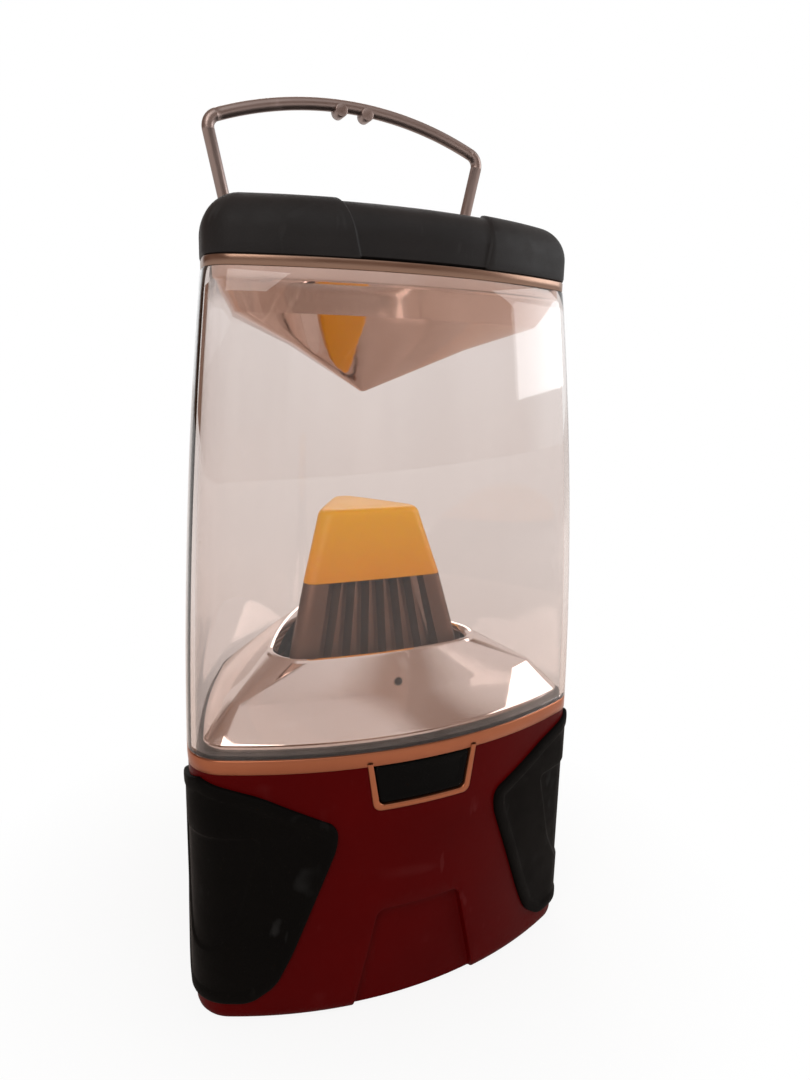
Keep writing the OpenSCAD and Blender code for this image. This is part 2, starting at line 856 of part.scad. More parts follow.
module heat_sink() {
  color("#6f5f57") place()
    difference() {
      union() {
        post(sink_foot_r, deck_top, deck_top + sink_base_t);
        loft([
          post_ring(sink_side, 4.6, deck_top + sink_base_t - join),
          post_ring(sink_side, 4.6, sink_neck),
          post_ring(sink_top_side, 4.2, sink_top)
        ]);
      }
      post(4, deck_top - 1, sink_top + 1);
      rotate(60)
        each_corner(sink_screw_orbit)
          post(screw_hole_r, deck_top - 1, deck_top + sink_base_t + 1);
      each_side()
        for (i = [0.5 : fin_count - 2])
          let (u = i / (fin_count - 2) - 0.5)
          translate([u * fin_spread, -sink_side, sink_neck - 8])
            rotate([-fin_lean, -u * fin_fan, 0])
              translate([-slot_w / 2, -6, 0])
                cube([slot_w, 6 + slot_depth, 60]);
    }
}

module sink_screws() {
  color("#9c9ca0") place()
    rotate(60)
      each_corner(sink_screw_orbit)
        screw_down(deck_top + sink_base_t + 2, 6);
}

module led_board() {
  color("#e8e8e2") place()
    difference() {
      loft([post_ring(12.6, 2.6, sink_top), post_ring(12.6, 2.6, sink_top + board_t)]);
      post(3.4, sink_top - 1, sink_top + board_t + 1);
    }
}

chip_orbit = 13.5;
chip_side = 5.4;
chip_t = 1.7;

module led_chips() {
  color("#f2d23c") place()
    each_corner(chip_orbit)
      translate([-chip_side / 2, -chip_side / 2, sink_top + board_t])
        cube([chip_side, chip_side, chip_t]);
}

module diffuser_cap() {
  color("#e0a010") place()
    loft([
      post_ring(12.3, 2.4, cover_top - 1.8),
      post_ring(16.3, 2.6, sink_top),
      post_ring(sink_top_side, 4.2, sink_top),
      post_ring(14.2, 5, cover_top - 2.4),
      post_ring(13.9, 4.9, cover_top - 0.9),
      post_ring(13.1, 4.4, cover_top - 0.2),
      post_ring(12.2, 4, cover_top)
    ]);
}

// Leads from the driver board up the hollow post to the light board
lead_r = 0.9;
lead_x = 1.6;

module led_wires() {
  color("#b3221e") place()
    for (x = [-lead_x, lead_x])
      translate([x, 0, 0])
        post(lead_r, driver_z + board_t, sink_top + board_t);
}

// ---- battery well and electronics -----------------------------------------

well_r = 43.6;
well_wall = 2;
well_top = 82;
well_top_t = 2;
door_top = 7.2;
gasket_h = 1.6;
well_bottom = door_top + gasket_h + gap;
driver_z = well_top + well_top_t + 3;
driver_r = 27;
bolt_r = 3;
insert_r = 5.2;
column_r = 3.5;
board_post_r = 2;
board_post_orbit = 16;

module battery_well() {
  color("#232326") place()
    difference() {
      union() {
        pipe(well_r + well_wall, well_r, well_bottom, well_top + join);
        post(well_r + well_wall, well_top, well_top + well_top_t);
        post(insert_r + 2.4, well_top - 4, well_top + join);
        rotate(60)
          each_corner(column_orbit)
            post(column_r, well_top + well_top_t - join, deck_z);
        for (a = [45, 225])
          rotate(a)
            translate([board_post_orbit, 0, 0])
              post(board_post_r, well_top + well_top_t - join, driver_z);
      }
      post(insert_r, well_top - 5, well_top + well_top_t + 1);
      rotate(60)
        each_corner(column_orbit)
          post(screw_r, deck_z - 9, deck_z + 1);
      for (a = [0, 180])
        rotate(a)
          translate([leaf_orbit - leaf_reach - leaf_play, -leaf_w / 2 - leaf_play, well_top - 1])
            cube([leaf_stem_t + 2 * leaf_play, leaf_w + 2 * leaf_play, well_top_t + 2]);
    }
}

module well_screws() {
  color("#9c9ca0") place()
    rotate(60)
      each_corner(column_orbit)
        screw_down(deck_top + 2, deck_t + 7);
}

// Brass insert that takes the end of the door bolt
module bolt_insert() {
  color("#b08a45") place()
    pipe(insert_r, bolt_r + run_fit, well_top - 4, well_top + well_top_t);
}

module driver_board() {
  color("#1d5a34") place()
    post(driver_r, driver_z, driver_z + board_t);
}

// Chips as [near corner, size], and round parts as [centre, radius, height]
board_chips = [[[8, 6], [9, 7, 3]], [[-18, 5], [7, 7, 4]]];
board_cans = [[[-12, -12], 3.6, 5.4], [[12, -12], 3, 4.6], [[0, 17], 2.6, 3.4]];

module driver_parts() {
  color("#2b2b30") place()
    translate([0, 0, driver_z + board_t]) {
      for (chip = board_chips)
        translate(chip[0])
          cube(chip[1]);
      for (can = board_cans)
        translate(can[0])
          cylinder(r = can[1], h = can[2]);
    }
}

// Sprung brass leaves that meet the carrier's top contacts
leaf_orbit = 20;
leaf_reach = 3;
leaf_len = 9;
leaf_w = 4;
leaf_t = 0.8;
leaf_stem_t = 1.2;
leaf_play = 0.1;

module contact_leaves() {
  leaf_z = top_disc_z + top_disc_t + gap;
  color("#b99a55") place()
    for (a = [0, 180])
      rotate(a)
        translate([leaf_orbit - leaf_reach, -leaf_w / 2, leaf_z]) {
          cube([leaf_len, leaf_w, leaf_t]);
          cube([leaf_stem_t, leaf_w, driver_z - leaf_z]);
        }
}

// ---- battery door ---------------------------------------------------------

door_bottom = 1.2;
door_recess_r = 15;
door_recess_top = 5.8;
bolt_head_z = 4.1;
grip_r = 1.6;
grip_orbit = 42;
bolt_head_r = 9;
ear_x = 4.6;
ear_size = [2.4, 3.8];
ring_wire = 1.8;
ring_z = 2.6;
ring_y = 3.6;
ring_half = 7;

module battery_door() {
  color("#6e0a0d") place()
    difference() {
      post(door_r, door_bottom, door_top);
      post(door_recess_r, 0, door_recess_top);
      post(bolt_r + run_fit, 0, door_top + 1);
      for (a = [0 : 15 : 345])
        rotate(a)
          translate([grip_orbit, 0, 0])
            post(grip_r, 0, door_bottom + 0.8);
    }
}

module door_gasket() {
  color("#101012") place()
    pipe(47.6, 44, door_top, door_top + gasket_h);
}

// Captive bolt with two ears for its pull ring
module door_bolt() {
  color("#a3a3a8") place()
    difference() {
      union() {
        post(bolt_head_r, bolt_head_z, door_recess_top - gap);
        post(bolt_r, bolt_head_z, well_top + 1);
        for (x = [-ear_x, ear_x])
          translate([x - ear_size.x / 2, ring_y - ear_size.y / 2, ring_z - 1])
            cube([ear_size.x, ear_size.y, bolt_head_z - ring_z + 1 + join]);
      }
      translate([0, ring_y, ring_z])
        x_rod(ring_wire / 2 + run_fit, -12, 12);
    }
}

// Spring clip that keeps the bolt in the door
module bolt_clip() {
  color("#8d8d92") place()
    pipe(4.6, bolt_r, door_top + gap, door_top + gap + 1);
}

module d_ring() {
  color("#a3a3a8") place()
    translate([0, ring_y, ring_z]) {
      x_rod(ring_wire / 2, -ring_half, ring_half);
      rotate(180)
        rotate_extrude(angle = 180, $fn = 96)
          translate([ring_half, 0])
            circle(d = ring_wire, $fn = 24);
      for (x = [-ring_half, ring_half])
        translate([x, 0, 0])
          sphere(d = ring_wire, $fn = 24);
    }
}

// ---- battery carrier ------------------------------------------------------

carrier_r = 42.8;
carrier_t = 2.2;
strip_t = 0.4;
spring_h = 1.6;
tube_r = 5;
side_post_r = 2.2;
side_post_orbit = 38.5;
bolt_room = 0.8;
strip_size = [44, 10];
cell_z = door_top + carrier_t + strip_t + spring_h;
top_strip_z = cell_z + cell_len;
carrier_top_z = top_strip_z + strip_t;
top_disc_z = carrier_top_z + 2.4;
top_disc_t = 0.8;

module carrier_base() {
  color("#26262a") place()
    difference() {
      post(carrier_r, door_top, door_top + carrier_t);
      post(5.4, door_top - 1, door_top + carrier_t + 1);
    }
}

// Centre tube around the bolt, and two side posts
module carrier_tube() {
  color("#26262a") place() {
    pipe(tube_r, bolt_r + bolt_room, door_top + carrier_t, carrier_top_z);
    for (a = [0 : 90 : 270])
      rotate(a)
        translate([side_post_orbit, 0, 0])
          post(side_post_r, door_top + carrier_t, carrier_top_z);
  }
}

module carrier_top() {
  color("#26262a") place()
    difference() {
      post(carrier_r, carrier_top_z, top_disc_z);
      post(bolt_r + bolt_room, carrier_top_z - 1, top_disc_z + 1);
    }
}

module at_cell(i) {
  rotate(45 + 90 * i)
    translate([cell_orbit, 0, 0])
      children();
}

// Strips that join the cells two by two
module strip(z) {
  for (i = [0, 1])
    rotate(180 * i)
      translate([-strip_size.x / 2, cell_orbit * sin(45) - strip_size.y / 2, z])
        cube([strip_size.x, strip_size.y, strip_t]);
}

module lower_contacts() {
  color("#b9b9bd") place()
    strip(door_top + carrier_t);
}

// Conical contact springs, drawn as stacked rings
spring_r = 4.2;
spring_wire_r = 0.4;

module cell_springs() {
  color("#c4c4c8") place()
    for (i = [0 : 3])
      at_cell(i)
        for (k = [0, 1])
          translate([0, 0, door_top + carrier_t + strip_t + (1 + 2 * k) * spring_wire_r])
            rotate_extrude($fn = 48)
              translate([spring_r - k, 0])
                circle(r = spring_wire_r, $fn = 16);
}

module upper_contacts() {
  color("#b9b9bd") place() {
    rotate(90)
      strip(top_strip_z);
    for (a = [0, 180])
      rotate(a)
        translate([leaf_orbit + 2, 0, 0])
          post(4.5, top_disc_z, top_disc_z + top_disc_t);
  }
}

// A D cell; every second one stands on its nub
module d_cell(i) {
  color("#8a6f3c") place()
    at_cell(i)
      translate([0, 0, i % 2 == 0 ? cell_z : cell_z + cell_len])
        mirror([0, 0, i % 2])
          rotate_extrude($fn = 96)
            polygon([
              [0, 0], [cell_d / 2 - 1, 0], [cell_d / 2, 1], [cell_d / 2, cell_len - 3],
              [cell_d / 2 - 1, cell_len - 2], [4.8, cell_len - 2], [4.8, cell_len], [0, cell_len]
            ]);
}
module d_cell_1() { d_cell(0); }
module d_cell_2() { d_cell(1); }
module d_cell_3() { d_cell(2); }
module d_cell_4() { d_cell(3); }

base_housing();
base_trim();
power_button();
switch_plunger();
tact_switch();
switch_board();
switch_wires();
corner_pad_right();
corner_pad_rear();
corner_pad_left();
rubber_feet();
housing_screws();
top_deck();
lens_seal();
lens();
cap_seal();
upper_trim();
top_plate();
cap_screws();
top_cap();
bail_brackets();
bracket_screws();
bail();
bail_stops();
upper_reflector();
lower_reflector();
reflector_screws();
indicator_led();
heat_sink();
sink_screws();
led_board();
led_chips();
diffuser_cap();
led_wires();
battery_well();
well_screws();
bolt_insert();
driver_board();
driver_parts();
contact_leaves();
battery_door();
door_gasket();
door_bolt();
bolt_clip();
d_ring();
carrier_base();
carrier_tube();
carrier_top();
lower_contacts();
cell_springs();
upper_contacts();
d_cell_1();
d_cell_2();
d_cell_3();
d_cell_4();
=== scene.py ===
import math

import bmesh
import bpy
from mathutils import Matrix, Vector


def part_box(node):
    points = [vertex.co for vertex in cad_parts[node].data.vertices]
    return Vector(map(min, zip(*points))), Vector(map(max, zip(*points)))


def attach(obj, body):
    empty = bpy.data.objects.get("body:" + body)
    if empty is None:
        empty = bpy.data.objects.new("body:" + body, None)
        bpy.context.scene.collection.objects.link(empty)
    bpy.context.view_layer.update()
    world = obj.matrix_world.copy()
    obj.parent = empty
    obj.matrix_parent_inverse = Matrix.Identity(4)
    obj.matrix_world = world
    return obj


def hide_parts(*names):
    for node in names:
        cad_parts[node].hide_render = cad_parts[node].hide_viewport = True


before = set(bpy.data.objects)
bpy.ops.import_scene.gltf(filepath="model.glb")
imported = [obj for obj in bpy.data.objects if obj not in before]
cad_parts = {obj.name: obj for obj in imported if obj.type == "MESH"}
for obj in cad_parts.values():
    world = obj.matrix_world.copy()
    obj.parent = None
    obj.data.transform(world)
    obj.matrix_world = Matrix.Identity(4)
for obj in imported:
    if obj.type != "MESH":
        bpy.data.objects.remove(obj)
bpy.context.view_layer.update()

# ---- sizes, in millimetres, Z up from the feet, about the lantern's own axis ----

MM = 0.001
door_low, door_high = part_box("battery_door")
AXIS_Y = (door_low.y + door_high.y) / 2 / MM

SIDE_R, SIDE_ARC_R, CORNER_R = 63, 162, 14.2
BASE_TOP, LENS_BOTTOM, LENS_TOP, CAP_BOTTOM, CAP_TOP = 95, 100.2, 256.3, 259.7, 279
LENS_TAPER, LENS_BULGE, LENS_WALL = 0.872, 0.026, 2.5
HOUSING_OFF, HOUSING_WALL = -0.3, 2.4
# Points nearer to each other than this become one
MERGE = 0.002
PAD_OFF = 1.5
# Height of a pad's outer face above the line that its sheet is wrapped on
PAD_RISE = 1.86
THIRD_TURN, QUARTER_TURN = math.radians(120), math.pi / 2
FRONT, UP, DOWN = (0, -1, 0), (0, 0, 1), (0, 0, -1)


class Outline:
    """A closed line of three bulging sides joined by three round corners."""

    def __init__(self, side, side_arc, corner):
        self.side_arc, self.corner = side_arc, corner
        self.back = side_arc - side
        reach = (-self.back + math.sqrt(self.back**2 - 4 * (self.back**2 - (side_arc - corner) ** 2))) / 2
        self.corner_at = Vector((reach * math.cos(math.radians(30)), -reach / 2))
        self.half = math.atan2(self.corner_at.x, self.back - self.corner_at.y)
        self.side_len = 2 * side_arc * self.half
        self.corner_turn = THIRD_TURN - 2 * self.half
        self.third = self.side_len + corner * self.corner_turn

    def at(self, s, off):
        """Point at a length s round the line from the middle of the front, moved out by off."""
        sector = round(s / self.third)
        t = s - sector * self.third
        if abs(t) <= self.side_len / 2:
            turn, centre, radius = abs(t) / self.side_arc, Vector((0, self.back)), self.side_arc
        else:
            turn = self.half + (abs(t) - self.side_len / 2) / self.corner
            centre, radius = self.corner_at, self.corner
        p = centre + (radius + off) * Vector((math.sin(turn), -math.cos(turn)))
        if t < 0:
            p.x = -p.x
        return Matrix.Rotation(THIRD_TURN * sector, 2) @ p

    def length_at(self, x):
        """Length along the front that reaches a sideways distance x."""
        turn = math.asin(min(1, abs(x) / self.side_arc))
        if turn > self.half:
            over = math.asin(min(1, (abs(x) - self.corner_at.x) / self.corner))
            return math.copysign(self.side_len / 2 + self.corner * (over - self.half), x)
        return math.copysign(self.side_arc * turn, x)


BODY = Outline(SIDE_R, SIDE_ARC_R, CORNER_R)


def grown(off, share=1.0):
    """Side, side arc and corner radii of the body's outline at a share of its size, grown by off."""
    return SIDE_R * share + off, SIDE_ARC_R * share + off, CORNER_R * share + off


def lens_share(z):
    u = (z - LENS_BOTTOM) / (LENS_TOP - LENS_BOTTOM)
    return 1 + (LENS_TAPER - 1) * u + LENS_BULGE * 4 * u * (1 - u)


# ---- modelling helpers ----

VERT, EDGE, FACE = bmesh.types.BMVert, bmesh.types.BMEdge, bmesh.types.BMFace


def of_kind(geom, kind):
    """The vertices, edges or faces among mixed geometry."""
    return [g for g in geom if isinstance(g, kind)]


def everything(bm):
    return bm.verts[:] + bm.edges[:] + bm.faces[:]


def region(faces):
    """Faces together with their edges and vertices."""
    return faces + list({e for f in faces for e in f.edges}) + list({v for f in faces for v in f.verts})


def value_at(steps, place):
    """Value on a line of (place, value) steps, which stays level beyond its ends."""
    place = min(max(place, steps[0][0]), steps[-1][0])
    for (x0, y0), (x1, y1) in zip(steps, steps[1:]):
        if place <= x1:
            return y0 + (y1 - y0) * (place - x0) / (x1 - x0)


def shift(bm, by, verts=None):
    bmesh.ops.translate(bm, verts=verts or bm.verts[:], vec=by)


def merge(bm, distance=MERGE):
    bmesh.ops.remove_doubles(bm, verts=bm.verts[:], dist=distance)


def resize(bm, share):
    bmesh.ops.scale(bm, verts=bm.verts[:], vec=(share, share, share))


def rotate(bm, matrix):
    bmesh.ops.rotate(bm, verts=bm.verts[:], cent=(0, 0, 0), matrix=matrix)


def spin(bm, geom, centre, axis, angle, steps, merge=False):
    """Sweeps geometry round an axis, and returns its last copy."""
    return bmesh.ops.spin(bm, geom=geom, cent=centre, axis=axis, dvec=(0, 0, 0), angle=angle,
                          steps=steps, use_merge=merge, use_duplicate=False)["geom_last"]


def extrude_edges(bm, edges, by):
    """Pulls a wall out of a line of edges, and returns what it made."""
    made = bmesh.ops.extrude_edge_only(bm, edges=edges)["geom"]
    shift(bm, by, of_kind(made, VERT))
    return made


def split(bm, geom, at, normal, **settings):
    bmesh.ops.bisect_plane(bm, geom=geom, dist=1e-4, plane_co=at, plane_no=normal, **settings)


def bevel_edges(bm, edges, width, segments):
    bmesh.ops.bevel(bm, geom=edges, offset=width, segments=segments, profile=0.5,
                    affect="EDGES", material=-1, clamp_overlap=True)


def triangulate(bm, edges, normal=FRONT):
    bmesh.ops.triangle_fill(bm, edges=edges, use_beauty=True, use_dissolve=False, normal=normal)


def fill_round(bm, edges, outlines, known):
    """Fills a flat sheet but not its outlined parts, and returns the new faces."""
    triangulate(bm, edges)
    for f in [f for f in bm.faces if f not in known]:
        centre = f.calc_center_median()
        if any(bmesh.geometry.intersect_face_point(outline, centre) for outline in outlines):
            bm.faces.remove(f)
    return [f for f in bm.faces if f not in known]


def face_front(faces):
    """Turns the faces of a flat sheet so that they look out, towards -Y."""
    for f in faces:
        f.normal_update()
        if f.normal.y > 0:
            f.normal_flip()


def outline_loop(bm, radii, z, side_steps, corner_steps):
    """Spins one vertex round the three sides and corners, and closes the line."""
    line = Outline(*radii)
    start = Vector((-line.side_arc * math.sin(line.half), line.back - line.side_arc * math.cos(line.half), z))
    known = set(bm.edges)
    tip = bm.verts.new(start)
    for i in range(3):
        sector = Matrix.Rotation(THIRD_TURN * i, 3, "Z")
        side_centre = sector @ Vector((0, line.back, z))
        corner_centre = sector @ Vector((*line.corner_at, z))
        for centre, angle, steps in (
            (side_centre, 2 * line.half, side_steps),
            (corner_centre, line.corner_turn, corner_steps),
        ):
            tip = of_kind(spin(bm, [tip], centre, UP, angle, steps), VERT)[0]
    made = [e for e in bm.edges if e not in known]
    ends = [v for v in {v for e in made for v in e.verts} if len(v.link_edges) == 1]
    bmesh.ops.pointmerge(bm, verts=ends, merge_co=start)
    return [e for e in bm.edges if e not in known]


def skin(bm, levels, side_steps, corner_steps, closed=False):
    """Bridges outlines given as (radii, z). Returns the loops of edges."""
    loops = [outline_loop(bm, radii, z, side_steps, corner_steps) for radii, z in levels]
    pairs = list(zip(loops, loops[1:]))
    if closed:
        pairs.append((loops[-1], loops[0]))
    for low, high in pairs:
        bmesh.ops.bridge_loops(bm, edges=low + high)
    return loops


def fill(bm, edges):
    return bmesh.ops.contextual_create(bm, geom=edges)["faces"]


def contour_face(bm, points):
    """One flat face in X and Z from an outline, facing -Y."""
    face = bm.faces.new([bm.verts.new((x, 0, z)) for x, z in points])
    face_front([face])
    return face


def round_corners(bm, face, radius, segments, only=None):
    """Bevels the corners of a flat face, and returns the face that is left."""
    verts = [v for v in face.verts if only is None or only(v.co)]
    made = bmesh.ops.bevel(bm, geom=verts, offset=radius, segments=segments, profile=0.5,
                           affect="VERTICES", material=-1, clamp_overlap=True)
    return made["verts"][0].link_faces[0]


def inset(bm, faces, steps):
    """Insets a region again and again by (width, rise), and returns the faces left inside."""
    for width, rise in steps:
        bmesh.ops.inset_region(bm, faces=faces, thickness=width, depth=rise,
                               use_boundary=True, use_even_offset=True)
    return faces


def slice_at(bm, places, axis):
    """Cuts everything at planes square to one axis."""
    normal = Vector([k == axis for k in range(3)])
    for place in places:
        split(bm, everything(bm), normal * place, normal)


def cut_off(bm, height, normal):
    """Removes what lies beyond a level, on the side that the normal points to."""
    split(bm, everything(bm), (0, 0, height), normal, clear_outer=True)


def span(low, high, pitch):
    count = max(1, math.ceil((high - low) / pitch))
    return [low + (high - low) * i / count for i in range(1, count)]


def wrap_places(low, high):
    """Where a flat sheet is sliced so that it can follow the body's outline."""
    places, side, corner = [], BODY.side_len / 2, BODY.third / 2
    for i in range(-2, 3):
        middle = i * BODY.third
        places += [middle - side, middle, middle + side]
        places += [middle + d for d in span(-side, side, 3.2)]
        places += [middle + corner + d for d in span(side - corner, corner - side, 1.2)]
    return sorted({round(p, 3) for p in places if low + 0.05 < p < high - 0.05})


def wrap(bm):
    """Lays a flat sheet round the body. X is the length round it, -Y stands out of it."""
    for v in bm.verts:
        p = BODY.at(v.co.x, -v.co.y)
        v.co = (p.x, p.y, v.co.z)


def turned(bm, profile, steps):
    """Spins a line of (radius, height) points about Z."""
    verts = [bm.verts.new((r, 0, z)) for r, z in profile]
    edges = [bm.edges.new(pair) for pair in zip(verts, verts[1:])]
    spin(bm, verts + edges, (0, 0, 0), UP, 2 * math.pi, steps, merge=True)


def in_scene(name, data):
    obj = bpy.data.objects.new(name, data)
    bpy.context.scene.collection.objects.link(obj)
    return obj


def object_of(name, bm, material):
    """A new object in the scene from a finished mesh."""
    mesh = bpy.data.meshes.new(name)
    bm.to_mesh(mesh)
    bm.free()
    mesh.materials.append(material)
    return in_scene(name, mesh)


def sharpen(bm, degrees):
    limit = math.radians(degrees)
    for f in bm.faces:
        f.smooth = True
    for e in bm.edges:
        e.smooth = len(e.link_faces) != 2 or e.calc_face_angle(0) < limit


def piece(name, bm, body, material, replaces, sharp, about_axis=True):
    """Closes a mesh, places it in the frame, and makes it ride on its body."""
    merge(bm)
    bmesh.ops.dissolve_degenerate(bm, dist=MERGE / 4, edges=bm.edges[:])
    bmesh.ops.recalc_face_normals(bm, faces=bm.faces[:])
    sharpen(bm, sharp)
    if about_axis:
        shift(bm, (0, AXIS_Y, 0))
    resize(bm, MM)
    obj = object_of(name, bm, material)
    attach(obj, body)
    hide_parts(*replaces)


def skinned(name, material, node, levels, steps, sharp, closed=True, extra=None):
    """A piece skinned over its levels, joined end to end or filled at both ends."""
    bm = bmesh.new()
    loops = skin(bm, levels, *steps, closed=closed)
    if not closed:
        fill(bm, loops[0])
        fill(bm, loops[-1])
    if extra:
        extra(bm)
    piece(name, bm, "lantern", material, (node,), sharp)


# ---- materials ----

def new_group(name, inputs, outputs):
    """An empty node group of plain numbers. Inputs are (name, value)."""
    group = bpy.data.node_groups.new(name, "ShaderNodeTree")
    for label, value in inputs:
        socket = group.interface.new_socket(name=label, in_out="INPUT", socket_type="NodeSocketFloat")
        socket.default_value = value
    for label in outputs:
        group.interface.new_socket(name=label, in_out="OUTPUT", socket_type="NodeSocketFloat")
    return group, group.nodes.new("NodeGroupInput"), group.nodes.new("NodeGroupOutput")


def link(tree, source, target):
    tree.links.new(source, target)


def new_node(tree, kind, inputs, **properties):
    """A node with its properties set, and its inputs linked to sockets or set to values."""
    node = tree.nodes.new("ShaderNode" + kind)
    for label, value in properties.items():
        setattr(node, label, value)
    for label, value in inputs.items():
        if isinstance(value, bpy.types.NodeSocket):
            link(tree, value, node.inputs[label])
        else:
            node.inputs[label].default_value = value
    return node


def rgba(color):
    """A plain colour with its alpha. A socket is left as it is."""
    return (*color, 1) if isinstance(color, tuple) else color


def math_node(tree, operation, a, b):
    return new_node(tree, "Math", {0: a, 1: b}, operation=operation).outputs[0]


def times(tree, a, b):
    return math_node(tree, "MULTIPLY", a, b)


def noise_node(tree, vector, scale, detail, roughness=0.55):
    inputs = {"Vector": vector, "Scale": scale, "Detail": detail, "Roughness": roughness}
    return new_node(tree, "TexNoise", inputs).outputs["Fac"]


def ramp_node(tree, value, low, high, to_low=0.0, to_high=1.0):
    inputs = {"Value": value, "From Min": low, "From Max": high, "To Min": to_low, "To Max": to_high}
    return new_node(tree, "MapRange", inputs).outputs["Result"]


def object_coords(tree):
    return tree.nodes.new("ShaderNodeTexCoord").outputs["Object"]


def stretched(tree, vector, scale, rotation=(0, 0, 0)):
    inputs = {"Vector": vector, "Rotation": rotation, "Scale": scale}
    return new_node(tree, "Mapping", inputs).outputs["Vector"]


def z_part(tree, vector):
    return new_node(tree, "SeparateXYZ", {"Vector": vector}).outputs["Z"]


def mix_shaders(tree, factor, first, second):
    return new_node(tree, "MixShader", {0: factor, 1: first, 2: second}).outputs[0]


def mix_colors(tree, factor, first, second):
    inputs = {"Factor": factor, 6: rgba(first), 7: rgba(second)}
    return new_node(tree, "Mix", inputs, data_type="RGBA").outputs[2]


def grain_group():
    """Fine moulded or cast grain: a height, and a patchy mask."""
    inputs = [("Scale", 1500.0), ("Patch Scale", 25.0)]
    group, inp, out = new_group("fine_grain", inputs, ["Height", "Patches"])
    coords = object_coords(group)
    fine = noise_node(group, coords, inp.outputs["Scale"], 2.0)
    patches = noise_node(group, coords, inp.outputs["Patch Scale"], 4.0)
    link(group, fine, out.inputs["Height"])
    link(group, ramp_node(group, patches, 0.3, 0.7), out.inputs["Patches"])
    return group


def wear_group():
    """Hairline scratches and wiped smudges, as two masks."""
    inputs = [("Scratch Scale", 160.0), ("Smudge Scale", 38.0)]
    group, inp, out = new_group("handling_wear", inputs, ["Scratches", "Smudges"])
    coords = object_coords(group)
    masks = []
    for turn, stretch in (((0.3, 0.9, 0.4), (1, 0.04, 0.35)), ((1.1, 0.2, 2.0), (0.05, 1, 0.3))):
        lines = noise_node(group, stretched(group, coords, stretch, turn), inp.outputs["Scratch Scale"], 2.0)
        masks.append(ramp_node(group, lines, 0.66, 0.72))
    both = math_node(group, "MAXIMUM", *masks)
    patch = ramp_node(group, noise_node(group, coords, 30.0, 2.0), 0.45, 0.62)
    link(group, times(group, both, patch), out.inputs["Scratches"])
    smudge = noise_node(group, coords, inp.outputs["Smudge Scale"], 5.0, 0.65)
    link(group, ramp_node(group, smudge, 0.42, 0.72), out.inputs["Smudges"])
    return group


def dust_group():
    """Dust that settles on faces that look up, and thin specks elsewhere."""
    group, inp, out = new_group("settled_dust", [("Amount", 0.3)], ["Dust"])
    normal = group.nodes.new("ShaderNodeNewGeometry").outputs["Normal"]
    up = ramp_node(group, z_part(group, normal), 0.35, 1.0, 0.12, 1.0)
    coords = object_coords(group)
    cloud = ramp_node(group, noise_node(group, coords, 60.0, 6.0, 0.7), 0.4, 0.75)
    specks = ramp_node(group, noise_node(group, coords, 900.0, 1.0), 0.68, 0.74)
    total = times(group, math_node(group, "MAXIMUM", cloud, specks), up)
    link(group, times(group, total, inp.outputs["Amount"]), out.inputs["Dust"])
    return group


GRAIN, WEAR, DUST = grain_group(), wear_group(), dust_group()


class Finish:
    """A material under construction: one Principled shader and the groups that feed it."""

    def __init__(self, name, color, roughness, **settings):
        self.material = bpy.data.materials.new(name)
        self.material.use_nodes = True
        self.tree = self.material.node_tree
        self.shader = next(n for n in self.tree.nodes if n.type == "BSDF_PRINCIPLED")
        self.output = next(n for n in self.tree.nodes if n.type == "OUTPUT_MATERIAL")
        self.roughness = roughness
        self.set("Base Color", (*color, 1))
        self.set("Roughness", roughness)
        for label, value in settings.items():
            self.set(label.replace("_", " "), value)

    def set(self, label, value):
        self.shader.inputs[label].default_value = value

    def use(self, group, **inputs):
        node = self.tree.nodes.new("ShaderNodeGroup")
        node.node_tree = group
        for label, value in inputs.items():
            node.inputs[label.replace("_", " ")].default_value = value
        return node

    def blend(self, factor, first, second):
        """Mixes two colours, or a socket and a colour, by a mask."""
        return mix_colors(self.tree, factor, first, second)

    def paint(self, color_socket):
        link(self.tree, color_socket, self.shader.inputs["Base Color"])

    def cover(self, factor, second):
        """Mixes another shader over the Principled one."""
        link(self.tree, mix_shaders(self.tree, factor, self.shader.outputs[0], second),
             self.output.inputs["Surface"])

    def rough(self, *terms):
        """Roughness as the plain value plus each mask times its share."""
        total = None
        for mask, share in terms:
            part = times(self.tree, mask, share)
            total = part if total is None else math_node(self.tree, "ADD", total, part)
        link(self.tree, math_node(self.tree, "ADD", total, self.roughness), self.shader.inputs["Roughness"])

    def bump(self, height, distance):
        node = new_node(self.tree, "Bump", {"Distance": distance, "Height": height})
        link(self.tree, node.outputs["Normal"], self.shader.inputs["Normal"])


def finish_of(name, color, roughness, worn, dusty, grain_scale, grain_height, dust_color=(0.30, 0.27, 0.25),
              patch_color=None, smudge=0.12, scratch=0.18, **settings):
    """A solid finish with grain, handling wear, smudges and a little dust."""
    f = Finish(name, color, roughness, **settings)
    grain = f.use(GRAIN, Scale=grain_scale)
    wear = f.use(WEAR)
    dust = f.use(DUST, Amount=dusty)
    tone = f.blend(grain.outputs["Patches"], color, patch_color or tuple(c * 0.86 for c in color))
    tone = f.blend(times(f.tree, wear.outputs["Scratches"], worn), tone,
                   tuple(min(1, c * 1.5 + 0.05) for c in color))
    f.paint(f.blend(dust.outputs["Dust"], tone, dust_color))
    f.rough((wear.outputs["Smudges"], smudge), (wear.outputs["Scratches"], scratch),
            (dust.outputs["Dust"], 0.4))
    f.bump(grain.outputs["Height"], grain_height)
    return f.material


